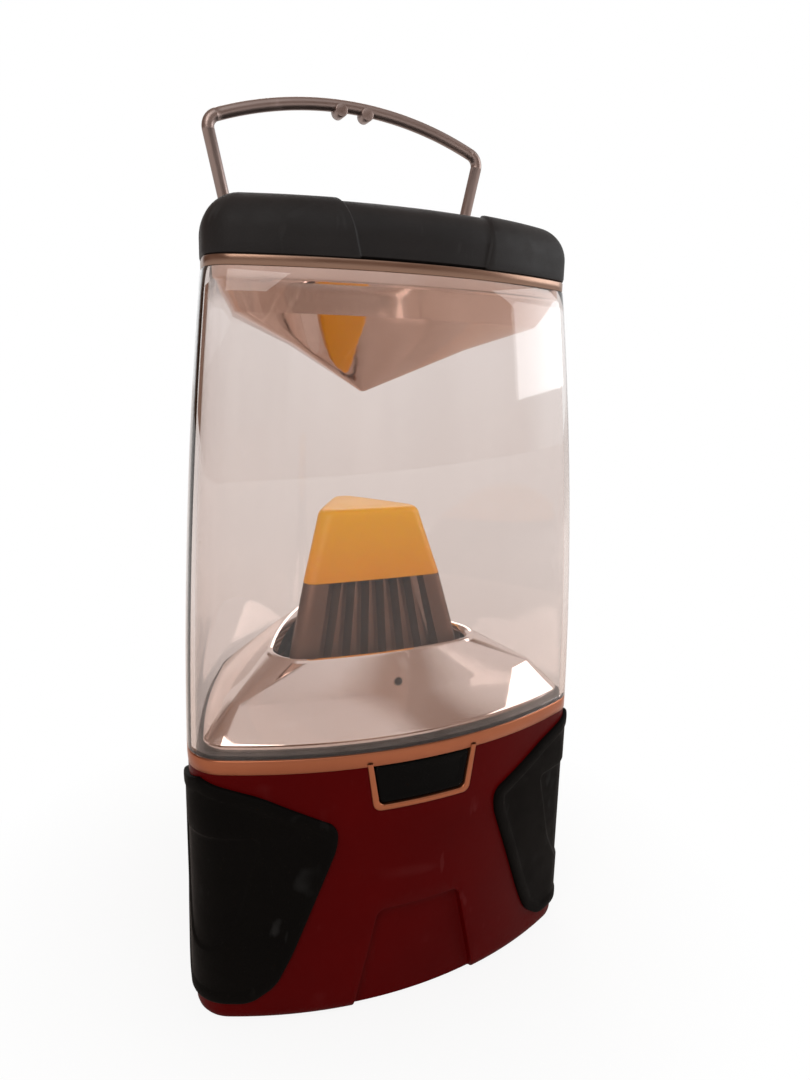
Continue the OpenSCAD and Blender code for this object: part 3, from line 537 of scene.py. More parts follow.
red_shell = finish_of("red_shell", (0.092, 0.0003, 0.0006), 0.36, 0.16, 0.012, 700.0, 0.00004,
                      patch_color=(0.078, 0.0003, 0.0006), dust_color=(0.15, 0.012, 0.01),
                      scratch=0.12, Specular_IOR_Level=0.04)
bronze_satin = finish_of("bronze_satin", (0.41, 0.145, 0.072), 0.30, 0.4, 0.08, 1600.0, 0.00002,
                         patch_color=(0.36, 0.122, 0.06), Metallic=0.95)
upper_bronze = finish_of("upper_bronze", (0.29, 0.18, 0.13), 0.28, 0.4, 0.08, 1600.0, 0.00002,
                         patch_color=(0.255, 0.157, 0.113), Metallic=0.95)
soft_black = finish_of("soft_black", (0.0105, 0.0096, 0.0100), 0.56, 0.35, 0.30, 2600.0, 0.00005,
                       dust_color=(0.07, 0.06, 0.057), patch_color=(0.009, 0.0078, 0.008), smudge=0.16,
                       Specular_IOR_Level=0.25)
pad_rubber = finish_of("pad_rubber", (0.0040, 0.0034, 0.0030), 0.52, 0.25, 0.07, 2200.0, 0.00007,
                       dust_color=(0.035, 0.03, 0.028), patch_color=(0.003, 0.0026, 0.0023), smudge=0.16,
                       Specular_IOR_Level=0.03)
button_gloss = finish_of("button_gloss", (0.0014, 0.0014, 0.0014), 0.24, 0.25, 0.05, 900.0, 0.00001,
                         dust_color=(0.02, 0.019, 0.018), Specular_IOR_Level=0.05)
mirror_chrome = finish_of("mirror_chrome", (0.95, 0.89, 0.865), 0.03, 0.25, 0.03, 55.0, 0.00005,
                          patch_color=(0.90, 0.82, 0.78), smudge=0.045, scratch=0.10, Metallic=1.0)
# The upper mirror's chrome is painted darker and warmer than the lower mirror's: a painted warm reflection
mirror_painted_warm_reflection = finish_of("mirror_painted_warm_reflection", (0.68, 0.52, 0.45), 0.03, 0.25, 0.03, 55.0, 0.00005,
                        patch_color=(0.63, 0.475, 0.41), smudge=0.045, scratch=0.10, Metallic=1.0)
cast_metal = finish_of("cast_metal", (0.185, 0.098, 0.066), 0.42, 0.6, 0.10, 1800.0, 0.00007,
                       patch_color=(0.14, 0.073, 0.049), Metallic=0.75)
wire_steel = finish_of("wire_steel", (0.34, 0.262, 0.238), 0.34, 0.6, 0.10, 2400.0, 0.00003,
                       patch_color=(0.275, 0.21, 0.19), Metallic=0.9)


def amber_finish():
    """Translucent amber moulding, paler at its top and deeper towards its foot."""
    f = Finish("amber_cover", (0.72, 0.33, 0.003), 0.32, Subsurface_Weight=0.25, Subsurface_Scale=0.004,
               IOR=1.49, Specular_IOR_Level=0.3)
    f.set("Subsurface Radius", (1.0, 0.35, 0.02))
    height = ramp_node(f.tree, z_part(f.tree, object_coords(f.tree)), 0.148, 0.176)
    grain = f.use(GRAIN, Scale=700.0, Patch_Scale=90.0)
    wear = f.use(WEAR)
    tone = f.blend(height, (0.70, 0.255, 0.0006), (0.82, 0.40, 0.006))
    specks = times(f.tree, grain.outputs["Patches"], 0.14)
    f.paint(f.blend(specks, tone, (0.80, 0.40, 0.01)))
    f.rough((wear.outputs["Smudges"], 0.10), (wear.outputs["Scratches"], 0.1))
    f.bump(grain.outputs["Height"], 0.00004)
    return f.material


def jacket_finish():
    """Printed metal jacket of a cell: a dark body with a copper band, and no wording."""
    f = Finish("cell_jacket", (0.03, 0.03, 0.034), 0.28, Metallic=0.6)
    band = math_node(f.tree, "GREATER_THAN", z_part(f.tree, object_coords(f.tree)), 0.055)
    wear = f.use(WEAR)
    grain = f.use(GRAIN, Scale=900.0)
    tone = f.blend(band, (0.03, 0.03, 0.034), (0.55, 0.25, 0.09))
    f.paint(f.blend(times(f.tree, wear.outputs["Scratches"], 0.5), tone, (0.5, 0.48, 0.45)))
    f.rough((wear.outputs["Smudges"], 0.14), (grain.outputs["Patches"], 0.05))
    f.bump(grain.outputs["Height"], 0.00001)
    return f.material


# Lens colours: the lower one is partly the moulding's own colour and partly a painted warm reflection, and
# the streak colour is a painted reflection
LENS_LOW_TINT_AND_PAINTED_REFLECTION, LENS_TINT_HIGH = (0.785, 0.705, 0.67), (0.885, 0.84, 0.825)
LENS_PAINTED_REFLECTION_STREAK, LENS_SMUDGE = (0.775, 0.71, 0.68), (0.85, 0.80, 0.785)


def lens_finish():
    """Clear moulding with a faint haze, a painted warm reflection that makes it darker and warmer towards the
    bottom, faint vertical streaks of painted reflection, and hairlines that only show where light grazes
    them.
    """
    f = Finish("clear_lens", LENS_TINT_HIGH, 0.015, Transmission_Weight=1.0, IOR=1.45)
    wear = f.use(WEAR, Smudge_Scale=14.0)
    f.rough((wear.outputs["Scratches"], 0.05), (wear.outputs["Smudges"], 0.02))
    coords = object_coords(f.tree)
    height = ramp_node(f.tree, z_part(f.tree, coords), LENS_BOTTOM * MM, LENS_TOP * MM)
    # Painted warm reflection: the lens turns darker and warmer towards its bottom
    tint_and_painted_reflection = f.blend(height, LENS_LOW_TINT_AND_PAINTED_REFLECTION, LENS_TINT_HIGH)
    # Painted reflection: faint vertical streaks that stand in for reflected blinds
    drawn = stretched(f.tree, coords, (1, 1, 0.06))
    painted_reflection_streaks = ramp_node(f.tree, noise_node(f.tree, drawn, 70.0, 4.0), 0.4, 0.7, 0.0, 0.22)
    tint_and_painted_reflection = f.blend(painted_reflection_streaks, tint_and_painted_reflection, LENS_PAINTED_REFLECTION_STREAK)
    f.paint(f.blend(times(f.tree, wear.outputs["Smudges"], 0.2), tint_and_painted_reflection, LENS_SMUDGE))
    path = f.tree.nodes.new("ShaderNodeLightPath")
    clear = new_node(f.tree, "BsdfTransparent", {"Color": (0.95, 0.93, 0.92, 1)})
    f.cover(path.outputs["Is Shadow Ray"], clear.outputs[0])
    return f.material


amber_cover, cell_jacket, clear_lens = amber_finish(), jacket_finish(), lens_finish()

# Inner parts keep their CAD shape. Each finish is followed by its metallic share and its nodes
INNER_FINISHES = [
    (("black_plastic", (0.018, 0.018, 0.019), 0.42, 0.4, 0.25, 1500.0, 0.00004), 0.0,
     ["top_deck", "top_plate", "bail_brackets", "battery_well",
      "carrier_base", "carrier_tube", "carrier_top"]),
    (("plated_steel", (0.55, 0.55, 0.56), 0.30, 0.6, 0.12, 1800.0, 0.00002), 1.0,
     ["housing_screws", "cap_screws", "bracket_screws", "reflector_screws", "sink_screws",
      "well_screws", "door_bolt", "bolt_clip", "d_ring"]),
    (("nickel", (0.66, 0.64, 0.60), 0.24, 0.6, 0.08, 1800.0, 0.00002), 1.0,
     ["lower_contacts", "cell_springs", "upper_contacts"]),
    (("brass", (0.68, 0.48, 0.20), 0.30, 0.6, 0.08, 1800.0, 0.00002), 1.0, ["bolt_insert", "contact_leaves"]),
    (("board_green", (0.012, 0.10, 0.035), 0.32, 0.3, 0.15, 1200.0, 0.00002), 0.0,
     ["switch_board", "led_board", "driver_board"]),
    (("component_black", (0.02, 0.02, 0.022), 0.5, 0.3, 0.15, 1500.0, 0.00003), 0.0,
     ["switch_plunger", "tact_switch", "driver_parts"]),
    (("lead_red", (0.35, 0.015, 0.012), 0.45, 0.3, 0.1, 900.0, 0.00002), 0.0, ["switch_wires", "led_wires"]),
    (("seal_rubber", (0.006, 0.006, 0.0065), 0.6, 0.3, 0.15, 1500.0, 0.00003), 0.0,
     ["lens_seal", "cap_seal", "door_gasket"]),
    (("led_phosphor", (0.80, 0.62, 0.06), 0.25, 0.2, 0.05, 1500.0, 0.00001), 0.0, ["led_chips"]),
    (("indicator_dark", (0.020, 0.012, 0.009), 0.15, 0.2, 0.05, 1500.0, 0.00001), 0.0, ["indicator_led"]),
]
node_finishes = [(finish_of(*look, Metallic=metallic), names) for look, metallic, names in INNER_FINISHES]
node_finishes += [(soft_black, ["rubber_feet"]), (red_shell, ["battery_door"]),
                  (cell_jacket, ["d_cell_1", "d_cell_2", "d_cell_3", "d_cell_4"])]
for material, names in node_finishes:
    for name in names:
        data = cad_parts[name].data
        data.materials.clear()
        data.materials.append(material)

# ---- base ----

SHEET_LOW, SHEET_HIGH, FOOT_LOW = -6, 98, 0.8
# Right halves of outlines as seen from the front, from top to bottom
ARCH_HALF = [(16.5, 39.5), (26.6, SHEET_LOW + 1)]
WINDOW_HALF = [(21.4, SHEET_HIGH - 1), (18.6, 78.2)]
FRAME_OUTER_HALF, FRAME_INNER_HALF = [(21.35, 97.2), (18.6, 78.2)], [(19.3, 97.2), (16.5, 80.3)]
BUTTON_HALF = [(18.55, 94.7), (16.2, 80.6)]
# Edges of recesses and rims, as steps of width and rise
ARCH_DEPTH = 2.8
ARCH_EDGE = [(0.35, -0.12), (0.25, 0.35 - ARCH_DEPTH), (0.45, -0.23)]
WINDOW_EDGE = [(0.05, -0.05), (0.01, -HOUSING_WALL)]
FRAME_SINK, FRAME_EDGE = 2.6, [(0.0001, 2.6), (0.15, 0.32), (0.35, 0.16)]
BUTTON_SINK, BUTTON_EDGE = 3.4, [(0.0001, 2.6), (0.12, 0.28), (0.3, 0.17), (0.6, 0.06), (2.2, -0.25)]
# Levels of the rounded foot, and how far each is drawn in
FOOT_ROUND = [(FOOT_LOW, 1.6), (1.3, 1.0), (2.0, 0.5), (3.2, 0.12), (4.5, 0.0)]
DOOR_HOLE_R, DOOR_HOLE_WALL = 50.3, 3.2


def along(points):
    """Front-view points moved onto the unrolled body."""
    return [(BODY.length_at(x), z) for x, z in points]


def mirrored(half):
    """A closed outline from the right half, listed from top to bottom."""
    return half + [(-x, z) for x, z in reversed(half)]


def shifted(points, by):
    return [(x + by, z) for x, z in points]


def low_corner(co):
    """Whether a corner of the window, frame or button is one of its two lower ones."""
    return co.z < 85


def base_housing():
    """Red shell: an unrolled sheet with its recesses pressed in, wrapped round the body."""
    bm = bmesh.new()
    end = 1.5 * BODY.third
    sheet = contour_face(bm, [(-end, SHEET_LOW), (end, SHEET_LOW), (end, SHEET_HIGH), (-end, SHEET_HIGH)])
    for middle in (-BODY.third, 0, BODY.third):
        face = contour_face(bm, shifted(along(mirrored(ARCH_HALF)), middle))
        round_corners(bm, face, 3.0, 5, only=lambda co: co.z > 20)
    face = contour_face(bm, along(mirrored(WINDOW_HALF)))
    round_corners(bm, face, 2.6, 5, only=low_corner)
    recesses = [f for f in bm.faces if f != sheet]
    bmesh.ops.delete(bm, geom=[sheet], context="FACES_ONLY")
    fill_round(bm, bm.edges[:], recesses, set(recesses))
    face_front(bm.faces)
    holes = []
    for f in recesses:
        if f.calc_center_median().z > 60:
            holes += inset(bm, [f], WINDOW_EDGE)
        else:
            inset(bm, [f], ARCH_EDGE)
    bmesh.ops.delete(bm, geom=holes, context="FACES")
    cut_off(bm, BASE_TOP, UP)
    cut_off(bm, FOOT_LOW, DOWN)
    slice_at(bm, [z for z, _ in FOOT_ROUND[1:]] + span(FOOT_ROUND[-1][0], BASE_TOP, 11), 2)
    slice_at(bm, wrap_places(-end, end), 0)
    for v in bm.verts:
        drawn_in = value_at(FOOT_ROUND, v.co.z)
        depth = min(-v.co.y, -drawn_in) if v.co.y > 0.5 else -v.co.y - drawn_in
        v.co.y = -(depth + HOUSING_OFF)
    wrap(bm)
    merge(bm, 0.01)
    bmesh.ops.recalc_face_normals(bm, faces=bm.faces[:])
    underside = FOOT_LOW + 0.05
    rim = [e for e in bm.edges if len(e.link_faces) == 1 and all(v.co.z < underside for v in e.verts)]
    circle = bmesh.ops.create_circle(bm, cap_ends=False, radius=DOOR_HOLE_R, segments=96,
                                     matrix=Matrix.Translation((0, 0, FOOT_LOW)))["verts"]
    ring = list({e for v in circle for e in v.link_edges})
    triangulate(bm, rim + ring, DOWN)
    for f in bm.faces[:]:
        centre = f.calc_center_median()
        if centre.z < underside and centre.xy.length < DOOR_HOLE_R - 1:
            bm.faces.remove(f)
    extrude_edges(bm, ring, (0, 0, DOOR_HOLE_WALL))
    piece("housing_shell", bm, "lantern", red_shell, ("base_housing",), 28)


def trim_ring(name, node, material, share, z0, z1, off, depth, extra=None):
    """A band with a rounded outer face, between two levels."""
    levels = [(off - depth, z0), (off - 0.25, z0), (off, z0 + 0.25), (off, z1 - 0.45),
              (off - 0.13, z1 - 0.13), (off - 0.45, z1), (off - depth, z1)]
    levels = [(grown(o, share), z) for o, z in levels]
    skinned(name, material, node, levels, (32, 12), 50, extra=extra)


def button_frame(bm):
    """The loop that runs down from the lower trim and round the button."""
    around = bmesh.new()
    face = contour_face(around, along(mirrored(FRAME_OUTER_HALF)))
    round_corners(around, face, 2.8, 6, only=low_corner)
    hole = contour_face(around, along(mirrored(FRAME_INNER_HALF)))
    round_corners(around, hole, 2.0, 6, only=low_corner)
    bmesh.ops.delete(around, geom=around.faces[:], context="FACES_ONLY")
    triangulate(around, around.edges[:])
    for f in around.faces[:]:
        centre = f.calc_center_median()
        if centre.z > 80.6 and abs(centre.x) < 16:
            around.faces.remove(f)
    face_front(around.faces)
    shift(around, (0, FRAME_SINK, 0))
    inset(around, around.faces[:], FRAME_EDGE)
    cut_off(around, BASE_TOP + 1.2, UP)
    slice_at(around, span(-22, 22, 2.0), 0)
    wrap(around)
    mesh = bpy.data.meshes.new("frame_part")
    around.to_mesh(mesh)
    around.free()
    bm.from_mesh(mesh)
    bpy.data.meshes.remove(mesh)


def power_button():
    """Glossy push panel inside the frame, with softly rounded edges."""
    bm = bmesh.new()
    face = contour_face(bm, along(mirrored(BUTTON_HALF)))
    face = round_corners(bm, face, 1.7, 5)
    shift(bm, (0, BUTTON_SINK, 0))
    inset(bm, [face], BUTTON_EDGE)
    slice_at(bm, span(-20, 20, 2.0), 0)
    slice_at(bm, span(BUTTON_HALF[1][1], BUTTON_HALF[0][1], 2.5), 2)
    wrap(bm)
    fill(bm, [e for e in bm.edges if len(e.link_faces) == 1])
    piece("button_panel", bm, "power_button", button_gloss, ("power_button",), 40)


PAD_HALF = [(73.65, 93.1), (56, 87), (31, 74.5), (31, 67), (46, 27), (51.5, 15), (60, 8.2)]
PAD_SINK = 0.9
PAD_EDGE = [(0.0001, 1.6), (0.15, 0.5), (0.35, 0.35), (0.6, 0.2), (0.9, 0.05), (1.6, -0.05), (0.9, -0.35),
            (0.5, -0.12)]
# The shallow recess, measured round the body from the pad's corner
ZONE_HALF = [(21, 73), (17.5, 60), (13, 42), (5, 28)]
ZONE_WIDER, ZONE_EDGE = 1.06, [(0.4, -0.10), (0.7, -0.45), (0.5, -0.12)]


def corner_pad(name, node, index):
    """Rubber pad wrapped round one corner, with a raised rim and a shallow recess."""
    corner = BODY.third / 2
    side = [(corner - BODY.length_at(x), z) for x, z in PAD_HALF[1:]]
    bm = bmesh.new()
    face = contour_face(bm, [(0, PAD_HALF[0][1])] + mirrored(side))
    face = round_corners(bm, face, 3.2, 5, only=lambda co: abs(co.x) > 12)
    shift(bm, (0, PAD_SINK, 0))
    inset(bm, [face], PAD_EDGE)
    level = face.calc_center_median().y
    zone = contour_face(bm, mirrored([(s * ZONE_WIDER, z) for s, z in ZONE_HALF]))
    zone = round_corners(bm, zone, 4.0, 5)
    shift(bm, (0, level, 0), list(zone.verts))
    edges = list(face.edges) + list(zone.edges)
    bm.faces.remove(face)
    filled = fill_round(bm, edges, [zone], set(bm.faces))
    for f in bm.faces:
        f.normal_update()
    face_front(filled + [zone])
    inset(bm, [zone], ZONE_EDGE)
    shift(bm, (corner, 0, 0))
    slice_at(bm, wrap_places(0, BODY.third), 0)
    slice_at(bm, span(8.2, 93.0, 6), 2)
    shift(bm, (0, PAD_RISE - PAD_OFF, 0))
    wrap(bm)
    rotate(bm, Matrix.Rotation(THIRD_TURN * index, 3, "Z"))
    piece(name, bm, "lantern", pad_rubber, (node,), 40)


base_housing()
trim_ring("lower_trim", "base_trim", bronze_satin, 1.0, BASE_TOP, LENS_BOTTOM, 0.0, 1.2, button_frame)
trim_ring("upper_band", "upper_trim", upper_bronze, LENS_TAPER, LENS_TOP, CAP_BOTTOM, -0.25, 0.9)
power_button()
for pad_index, pad_place in enumerate(("right", "rear", "left")):
    corner_pad("pad_" + pad_place, "corner_pad_" + pad_place, pad_index)

# ---- lens ----

GROOVE_IN, GROOVE_OUT, LENS_FOOT, LIP_OFF, LIP_H = -2.5, -1.4, 98.2, -1.2, 2.0
LENS_ROWS = 20


def lens():
    """Clear three-sided sleeve with a foot that stands in the deck's groove and a lip under the cap."""
    heights = [LENS_BOTTOM + (LENS_TOP - LENS_BOTTOM) * i / LENS_ROWS for i in range(LENS_ROWS + 1)]
    levels = [(grown(GROOVE_IN), LENS_FOOT), (grown(GROOVE_OUT), LENS_FOOT),
              (grown(GROOVE_OUT), LENS_BOTTOM - 0.02), (grown(-0.35), LENS_BOTTOM),
              (grown(0.0), LENS_BOTTOM + 0.35)]
    levels += [(grown(0.0, lens_share(z)), z) for z in heights[1:-1]]
    levels += [(grown(off, LENS_TAPER), z) for off, z in (
        (0.0, LENS_TOP - 0.3), (-0.3, LENS_TOP), (LIP_OFF, LENS_TOP), (LIP_OFF, LENS_TOP + LIP_H),
        (-LENS_WALL, LENS_TOP + LIP_H))]
    levels += [(grown(-LENS_WALL, lens_share(z)), z) for z in reversed(heights)]
    skinned("lens_shell", clear_lens, "lens", levels, (28, 14), 40)


lens()

# ---- mirrors, as levels of (side, side arc, corner) radii and a height ----

# Tray round the light post, from its skirt to the bead round its opening and back underneath
LOWER_MIRROR = [
    ((56.4, 155.4, 8), 101.2), ((58, 157, 9.6), 101.2), ((58, 157, 9.6), 103.0), ((57.8, 157, 9.4), 103.5),
    ((57.3, 157, 8.9), 104.1), ((45.6, 189, 3.8), 113.2), ((44.8, 190, 3.2), 113.9),
    ((33.0, 196, 13.8), 123.0), ((32.3, 196.3, 13.3), 123.8), ((31.5, 197, 12.6), 124.1),
    ((30.6, 197.8, 11.9), 123.9), ((29.6, 198.8, 11.1), 122.9), ((28.8, 200, 10.2), 121.8),
    ((28.8, 200, 10.2), 114.8), ((30.1, 198.7, 11.5), 114.8), ((30.9, 197.5, 12.3), 121.4),
    ((44.4, 189.2, 2.6), 112.1), ((56, 155.5, 7.6), 103.0)]
# Three-sided point that hangs from a band under the cap
UPPER_MIRROR = [((0.7, 3, 0.35), 218.7), ((26.4, 86, 1.8), 234.9), ((44.7, 134, 4.3), 243.4)]
UPPER_MIRROR += [(grown(off, LENS_TAPER), z) for off, z in (
    (-4.3, 251.7), (-3.1, 252.3), (-2.8, 252.8), (-2.8, LENS_TOP), (-4.4, LENS_TOP), (-6, 253.3))]
UPPER_MIRROR += [((43, 132, 2.9), 244.9), ((25, 84, 1.2), 236.8), ((0.5, 3, 0.2), 221.6)]

skinned("lower_mirror", mirror_chrome, "lower_reflector", LOWER_MIRROR, (28, 6), 13)
skinned("upper_mirror", mirror_painted_warm_reflection, "upper_reflector", UPPER_MIRROR, (20, 4), 9,
        closed=False)

# ---- light post ----

# A side's bulge, as its arc's radius over its distance from the axis
POST_ARC = 40
SINK_TOP, COVER_TOP = 148.3, 175.1
FIN_EDGE, FIN_SHARP = 0.28, 32
# Cover over the lights, with a softly rounded top edge, as (side, corner) radii and a height
AMBER_DOME = [
    (12.3, 2.4, 173.3), (16.3, 2.6, SINK_TOP), (18.1, 4.0, SINK_TOP), (18.3, 4.2, SINK_TOP + 0.3),
    (16.3, 4.6, SINK_TOP + 12), (14.4, 5, 171.6), (14.2, 5, 172.9), (13.8, 4.9, 173.9),
    (13.2, 4.7, 174.6), (12.4, 4.4, 175.0), (11.4, 4, COVER_TOP), (5.0, 1.6, COVER_TOP)]


def finned_post():
    """A copy of the heat sink with its edges broken by a small round."""
    bm = bmesh.new()
    bm.from_mesh(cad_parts["heat_sink"].data)
    resize(bm, 1 / MM)
    merge(bm)
    flat = math.radians(0.6)
    bmesh.ops.dissolve_limit(bm, angle_limit=flat, verts=bm.verts[:], edges=bm.edges[:])
    corner = math.radians(FIN_SHARP)
    edges = [e for e in bm.edges if len(e.link_faces) == 2 and e.calc_face_angle(0) > corner]
    bevel_edges(bm, edges, FIN_EDGE, 2)
    piece("finned_post", bm, "lantern", cast_metal, ("heat_sink",), FIN_SHARP, about_axis=False)


skinned("amber_dome", amber_cover, "diffuser_cap",
        [((side, POST_ARC * side, corner), z) for side, corner, z in AMBER_DOME], (12, 10), 35, closed=False)
finned_post()

# ---- cap ----

SHOULDER_Z, SHOULDER_H, SHOULDER_IN = 266.9, 12.1, 13
CAP_INSIDE_H = 8
# How far a level of the cap can shrink before its corners come to a point
CAP_IN_OFF = 0.1 - CORNER_R * LENS_TAPER
# The step's depth, its end on top, and its half width as (height, half width)
STEP_DEPTH, STEP_IN_Y = 0.9, -34
STEP_HALF = [(CAP_BOTTOM - 5, 21.6), (CAP_TOP + 5, 28)]
# Depth at each distance in from the step's edge
STEP_PROFILE = [(0.0, 0.0), (0.2, 0.1), (0.5, 0.45), (0.8, 0.8), (1.1, STEP_DEPTH)]
SLOT_FLOOR, SLOT_ROUND = 268.9, 0.7
SLOT = [(35.4, -21), (57.0, -21), (50.6, 7.6), (50.6, 15.6), (44.6, 19.0), (35.4, 19.0)]


def cap_step(bm):
    """Steps the middle of each side in between its corners."""
    (foot_z, foot_x), (head_z, head_x) = STEP_HALF
    slope = (head_x - foot_x) / (head_z - foot_z)
    depths = {}
    for i in range(3):
        sector = Matrix.Rotation(THIRD_TURN * i, 3, "Z")
        back = sector.inverted()

        def near():
            centres = {f: back @ f.calc_center_median() for f in bm.faces}
            return region([f for f, c in centres.items() if c.y < -20 and abs(c.x) < 36])

        for distance, _ in STEP_PROFILE:
            for hand in (-1, 1):
                split(bm, near(), sector @ Vector((hand * (foot_x - distance), 0, foot_z)),
                      sector @ Vector((hand, 0, -slope)))
            split(bm, near(), sector @ Vector((0, STEP_IN_Y - distance, 0)), sector @ Vector((0, 1, 0)))
        bm.normal_update()
        for v in bm.verts:
            p = back @ v.co
            distance = min(value_at(STEP_HALF, p.z) - abs(p.x), STEP_IN_Y - p.y)
            if distance > 0:
                depths[v] = (v.normal.copy(), value_at(STEP_PROFILE, distance))
    for v, (normal, depth) in depths.items():
        v.co -= Vector(UP) * depth if abs(normal.z) > 0.999 else normal * depth


def cap_slots(bm):
    """Cuts the two slots that the legs of the bail lie in."""
    for hand in (-1, 1):
        points = [Vector((hand * x, y, 0)) for x, y in SLOT]
        sides = list(zip(points, points[1:] + points[:1]))
        centre = sum(points, Vector()) / len(points)

        def over_slot(face):
            """Whether a face of the upper skin lies over any part of the slot's box."""
            return face.calc_center_median().z > SHOULDER_Z - 4 and all(
                min(v.co[k] for v in face.verts) < max(p[k] for p in points)
                and max(v.co[k] for v in face.verts) > min(p[k] for p in points) for k in (0, 1))

        def inside(p):
            """Even-odd test, because the outline is hollow where the slot starts to flare."""
            crossed = [a for a, b in sides if (a.y > p.y) != (b.y > p.y)
                       and p.x < a.x + (p.y - a.y) * (b.x - a.x) / (b.y - a.y)]
            return len(crossed) % 2 == 1

        for a, b in sides:
            normal = Vector((b.y - a.y, a.x - b.x, 0)).normalized()
            if normal.dot(centre - a) > 0:
                normal = -normal
            split(bm, region([f for f in bm.faces if over_slot(f)]), a, normal)
        centres = {f: f.calc_center_median() for f in bm.faces}
        gone = [f for f, c in centres.items() if c.z > SLOT_FLOOR and inside(c)]
        rim = [e for e in {e for f in gone for e in f.edges} if sum(f in gone for f in e.link_faces) == 1]
        bmesh.ops.delete(bm, geom=gone, context="FACES")
        rim = [e for e in rim if e.is_valid]
        wall = bmesh.ops.extrude_edge_only(bm, edges=rim)["geom"]
        for v in of_kind(wall, VERT):
            v.co.z = SLOT_FLOOR
        fill(bm, [e for e in of_kind(wall, EDGE) if all(abs(v.co.z - SLOT_FLOOR) < 1e-4 for v in e.verts)])
        top = [e for e in bm.edges if len(e.link_faces) == 2 and e in set(rim)]
        bevel_edges(bm, top, SLOT_ROUND, 3)


def cap():
    """Soft-touch cap with a rounded shoulder, stepped sides and bail slots."""
    bm = bmesh.new()
    levels = [(-3.2, CAP_BOTTOM), (-0.8, CAP_BOTTOM), (-0.25, CAP_BOTTOM + 0.35), (0, CAP_BOTTOM + 1.2),
              (0, CAP_BOTTOM + 3.4), (0, CAP_BOTTOM + 6.2)]
    for turn in range(0, 96, 6):
        t = math.radians(turn)
        off = max(CAP_IN_OFF, -SHOULDER_IN * (1 - math.cos(t)))
        levels.append((off, SHOULDER_Z + SHOULDER_H * math.sin(t)))
    loops = skin(bm, [(grown(off, LENS_TAPER), z) for off, z in levels], 28, 14)
    top = fill(bm, loops[-1])[0]
    bmesh.ops.recalc_face_normals(bm, faces=bm.faces[:])
    if top.normal.z < 0:
        bmesh.ops.reverse_faces(bm, faces=bm.faces[:])
    cap_step(bm)
    cap_slots(bm)
    inner = of_kind(extrude_edges(bm, loops[0], (0, 0, CAP_INSIDE_H)), EDGE)
    fill(bm, [e for e in inner if all(v.co.z > CAP_BOTTOM + CAP_INSIDE_H - 1 for v in e.verts)])
    piece("cap_shell", bm, "lantern", soft_black, ("top_cap",), 38)


cap()

# ---- bail ----

PIVOT_Y, PIVOT_Z = 13, 272.3
BAIL_RISE, BAIL_HALF_W, BAIL_LEAN, BAIL_ARCH_R, BAIL_BEND_R, BAIL_WIRE = 50, 45.8, 12.8, 140, 4.5, 4.4
PIN_BEND_R, PIN_START = 4, 37
STUD_X, STUD_DROP, STUD_R, STUD_HALF_LEN = 5.2, 2.0, 2.4, 2.8


def bail():
    """One bent wire: pin, leg, shoulder bend and half the crown, then its mirror image."""
    lean = math.radians(BAIL_LEAN)
    leg = Vector((math.sin(lean), math.cos(lean)))
    inward = Vector((-leg.y, leg.x))
    arch_c = Vector((0, BAIL_RISE - BAIL_ARCH_R))
    pin_end = BAIL_HALF_W - PIN_BEND_R / math.tan((QUARTER_TURN + lean) / 2)
    start = Vector((BAIL_HALF_W, 0)) + BAIL_BEND_R * inward - arch_c
    ahead = start.dot(leg)
    run = -ahead + math.sqrt(ahead**2 - start.length_squared + (BAIL_ARCH_R - BAIL_BEND_R) ** 2)
    bend_c = arch_c + start + run * leg
    bend_end = math.atan2(bend_c.y - arch_c.y, bend_c.x)
    bm = bmesh.new()
    at_pin = Matrix.Translation((PIN_START, 0, 0)) @ Matrix.Rotation(QUARTER_TURN, 4, "Y")
    bmesh.ops.create_circle(bm, cap_ends=True, radius=BAIL_WIRE / 2, segments=32, matrix=at_pin)
    bevel_edges(bm, bm.edges[:], 0.01, 1)
    end = [max(bm.faces, key=lambda f: f.calc_area())]

    def straight(faces, by):
        made = bmesh.ops.extrude_face_region(bm, geom=faces)["geom"]
        shift(bm, by, of_kind(made, VERT))
        bmesh.ops.delete(bm, geom=faces, context="FACES_ONLY")
        return of_kind(made, FACE)

    def bend(faces, centre, angle, steps):
        return of_kind(spin(bm, faces, (centre.x, 0, centre.y), FRONT, angle, steps), FACE)

    end = straight(end, (pin_end - PIN_START, 0, 0))
    end = bend(end, Vector((pin_end, PIN_BEND_R)), QUARTER_TURN - lean, 10)
    here = end[0].calc_center_median()
    target = bend_c - BAIL_BEND_R * inward
    end = straight(end, (target.x - here.x, 0, target.y - here.z))
    end = bend(end, bend_c, lean + bend_end, 16)
    end = bend(end, arch_c, QUARTER_TURN - bend_end, 24)
    bmesh.ops.delete(bm, geom=end, context="FACES_ONLY")
    bmesh.ops.mirror(bm, geom=everything(bm), matrix=Matrix.Identity(4), merge_dist=0.02, axis="X")
    shift(bm, (0, PIVOT_Y, PIVOT_Z))
    piece("bail_wire", bm, "bail", wire_steel, ("bail",), 50)


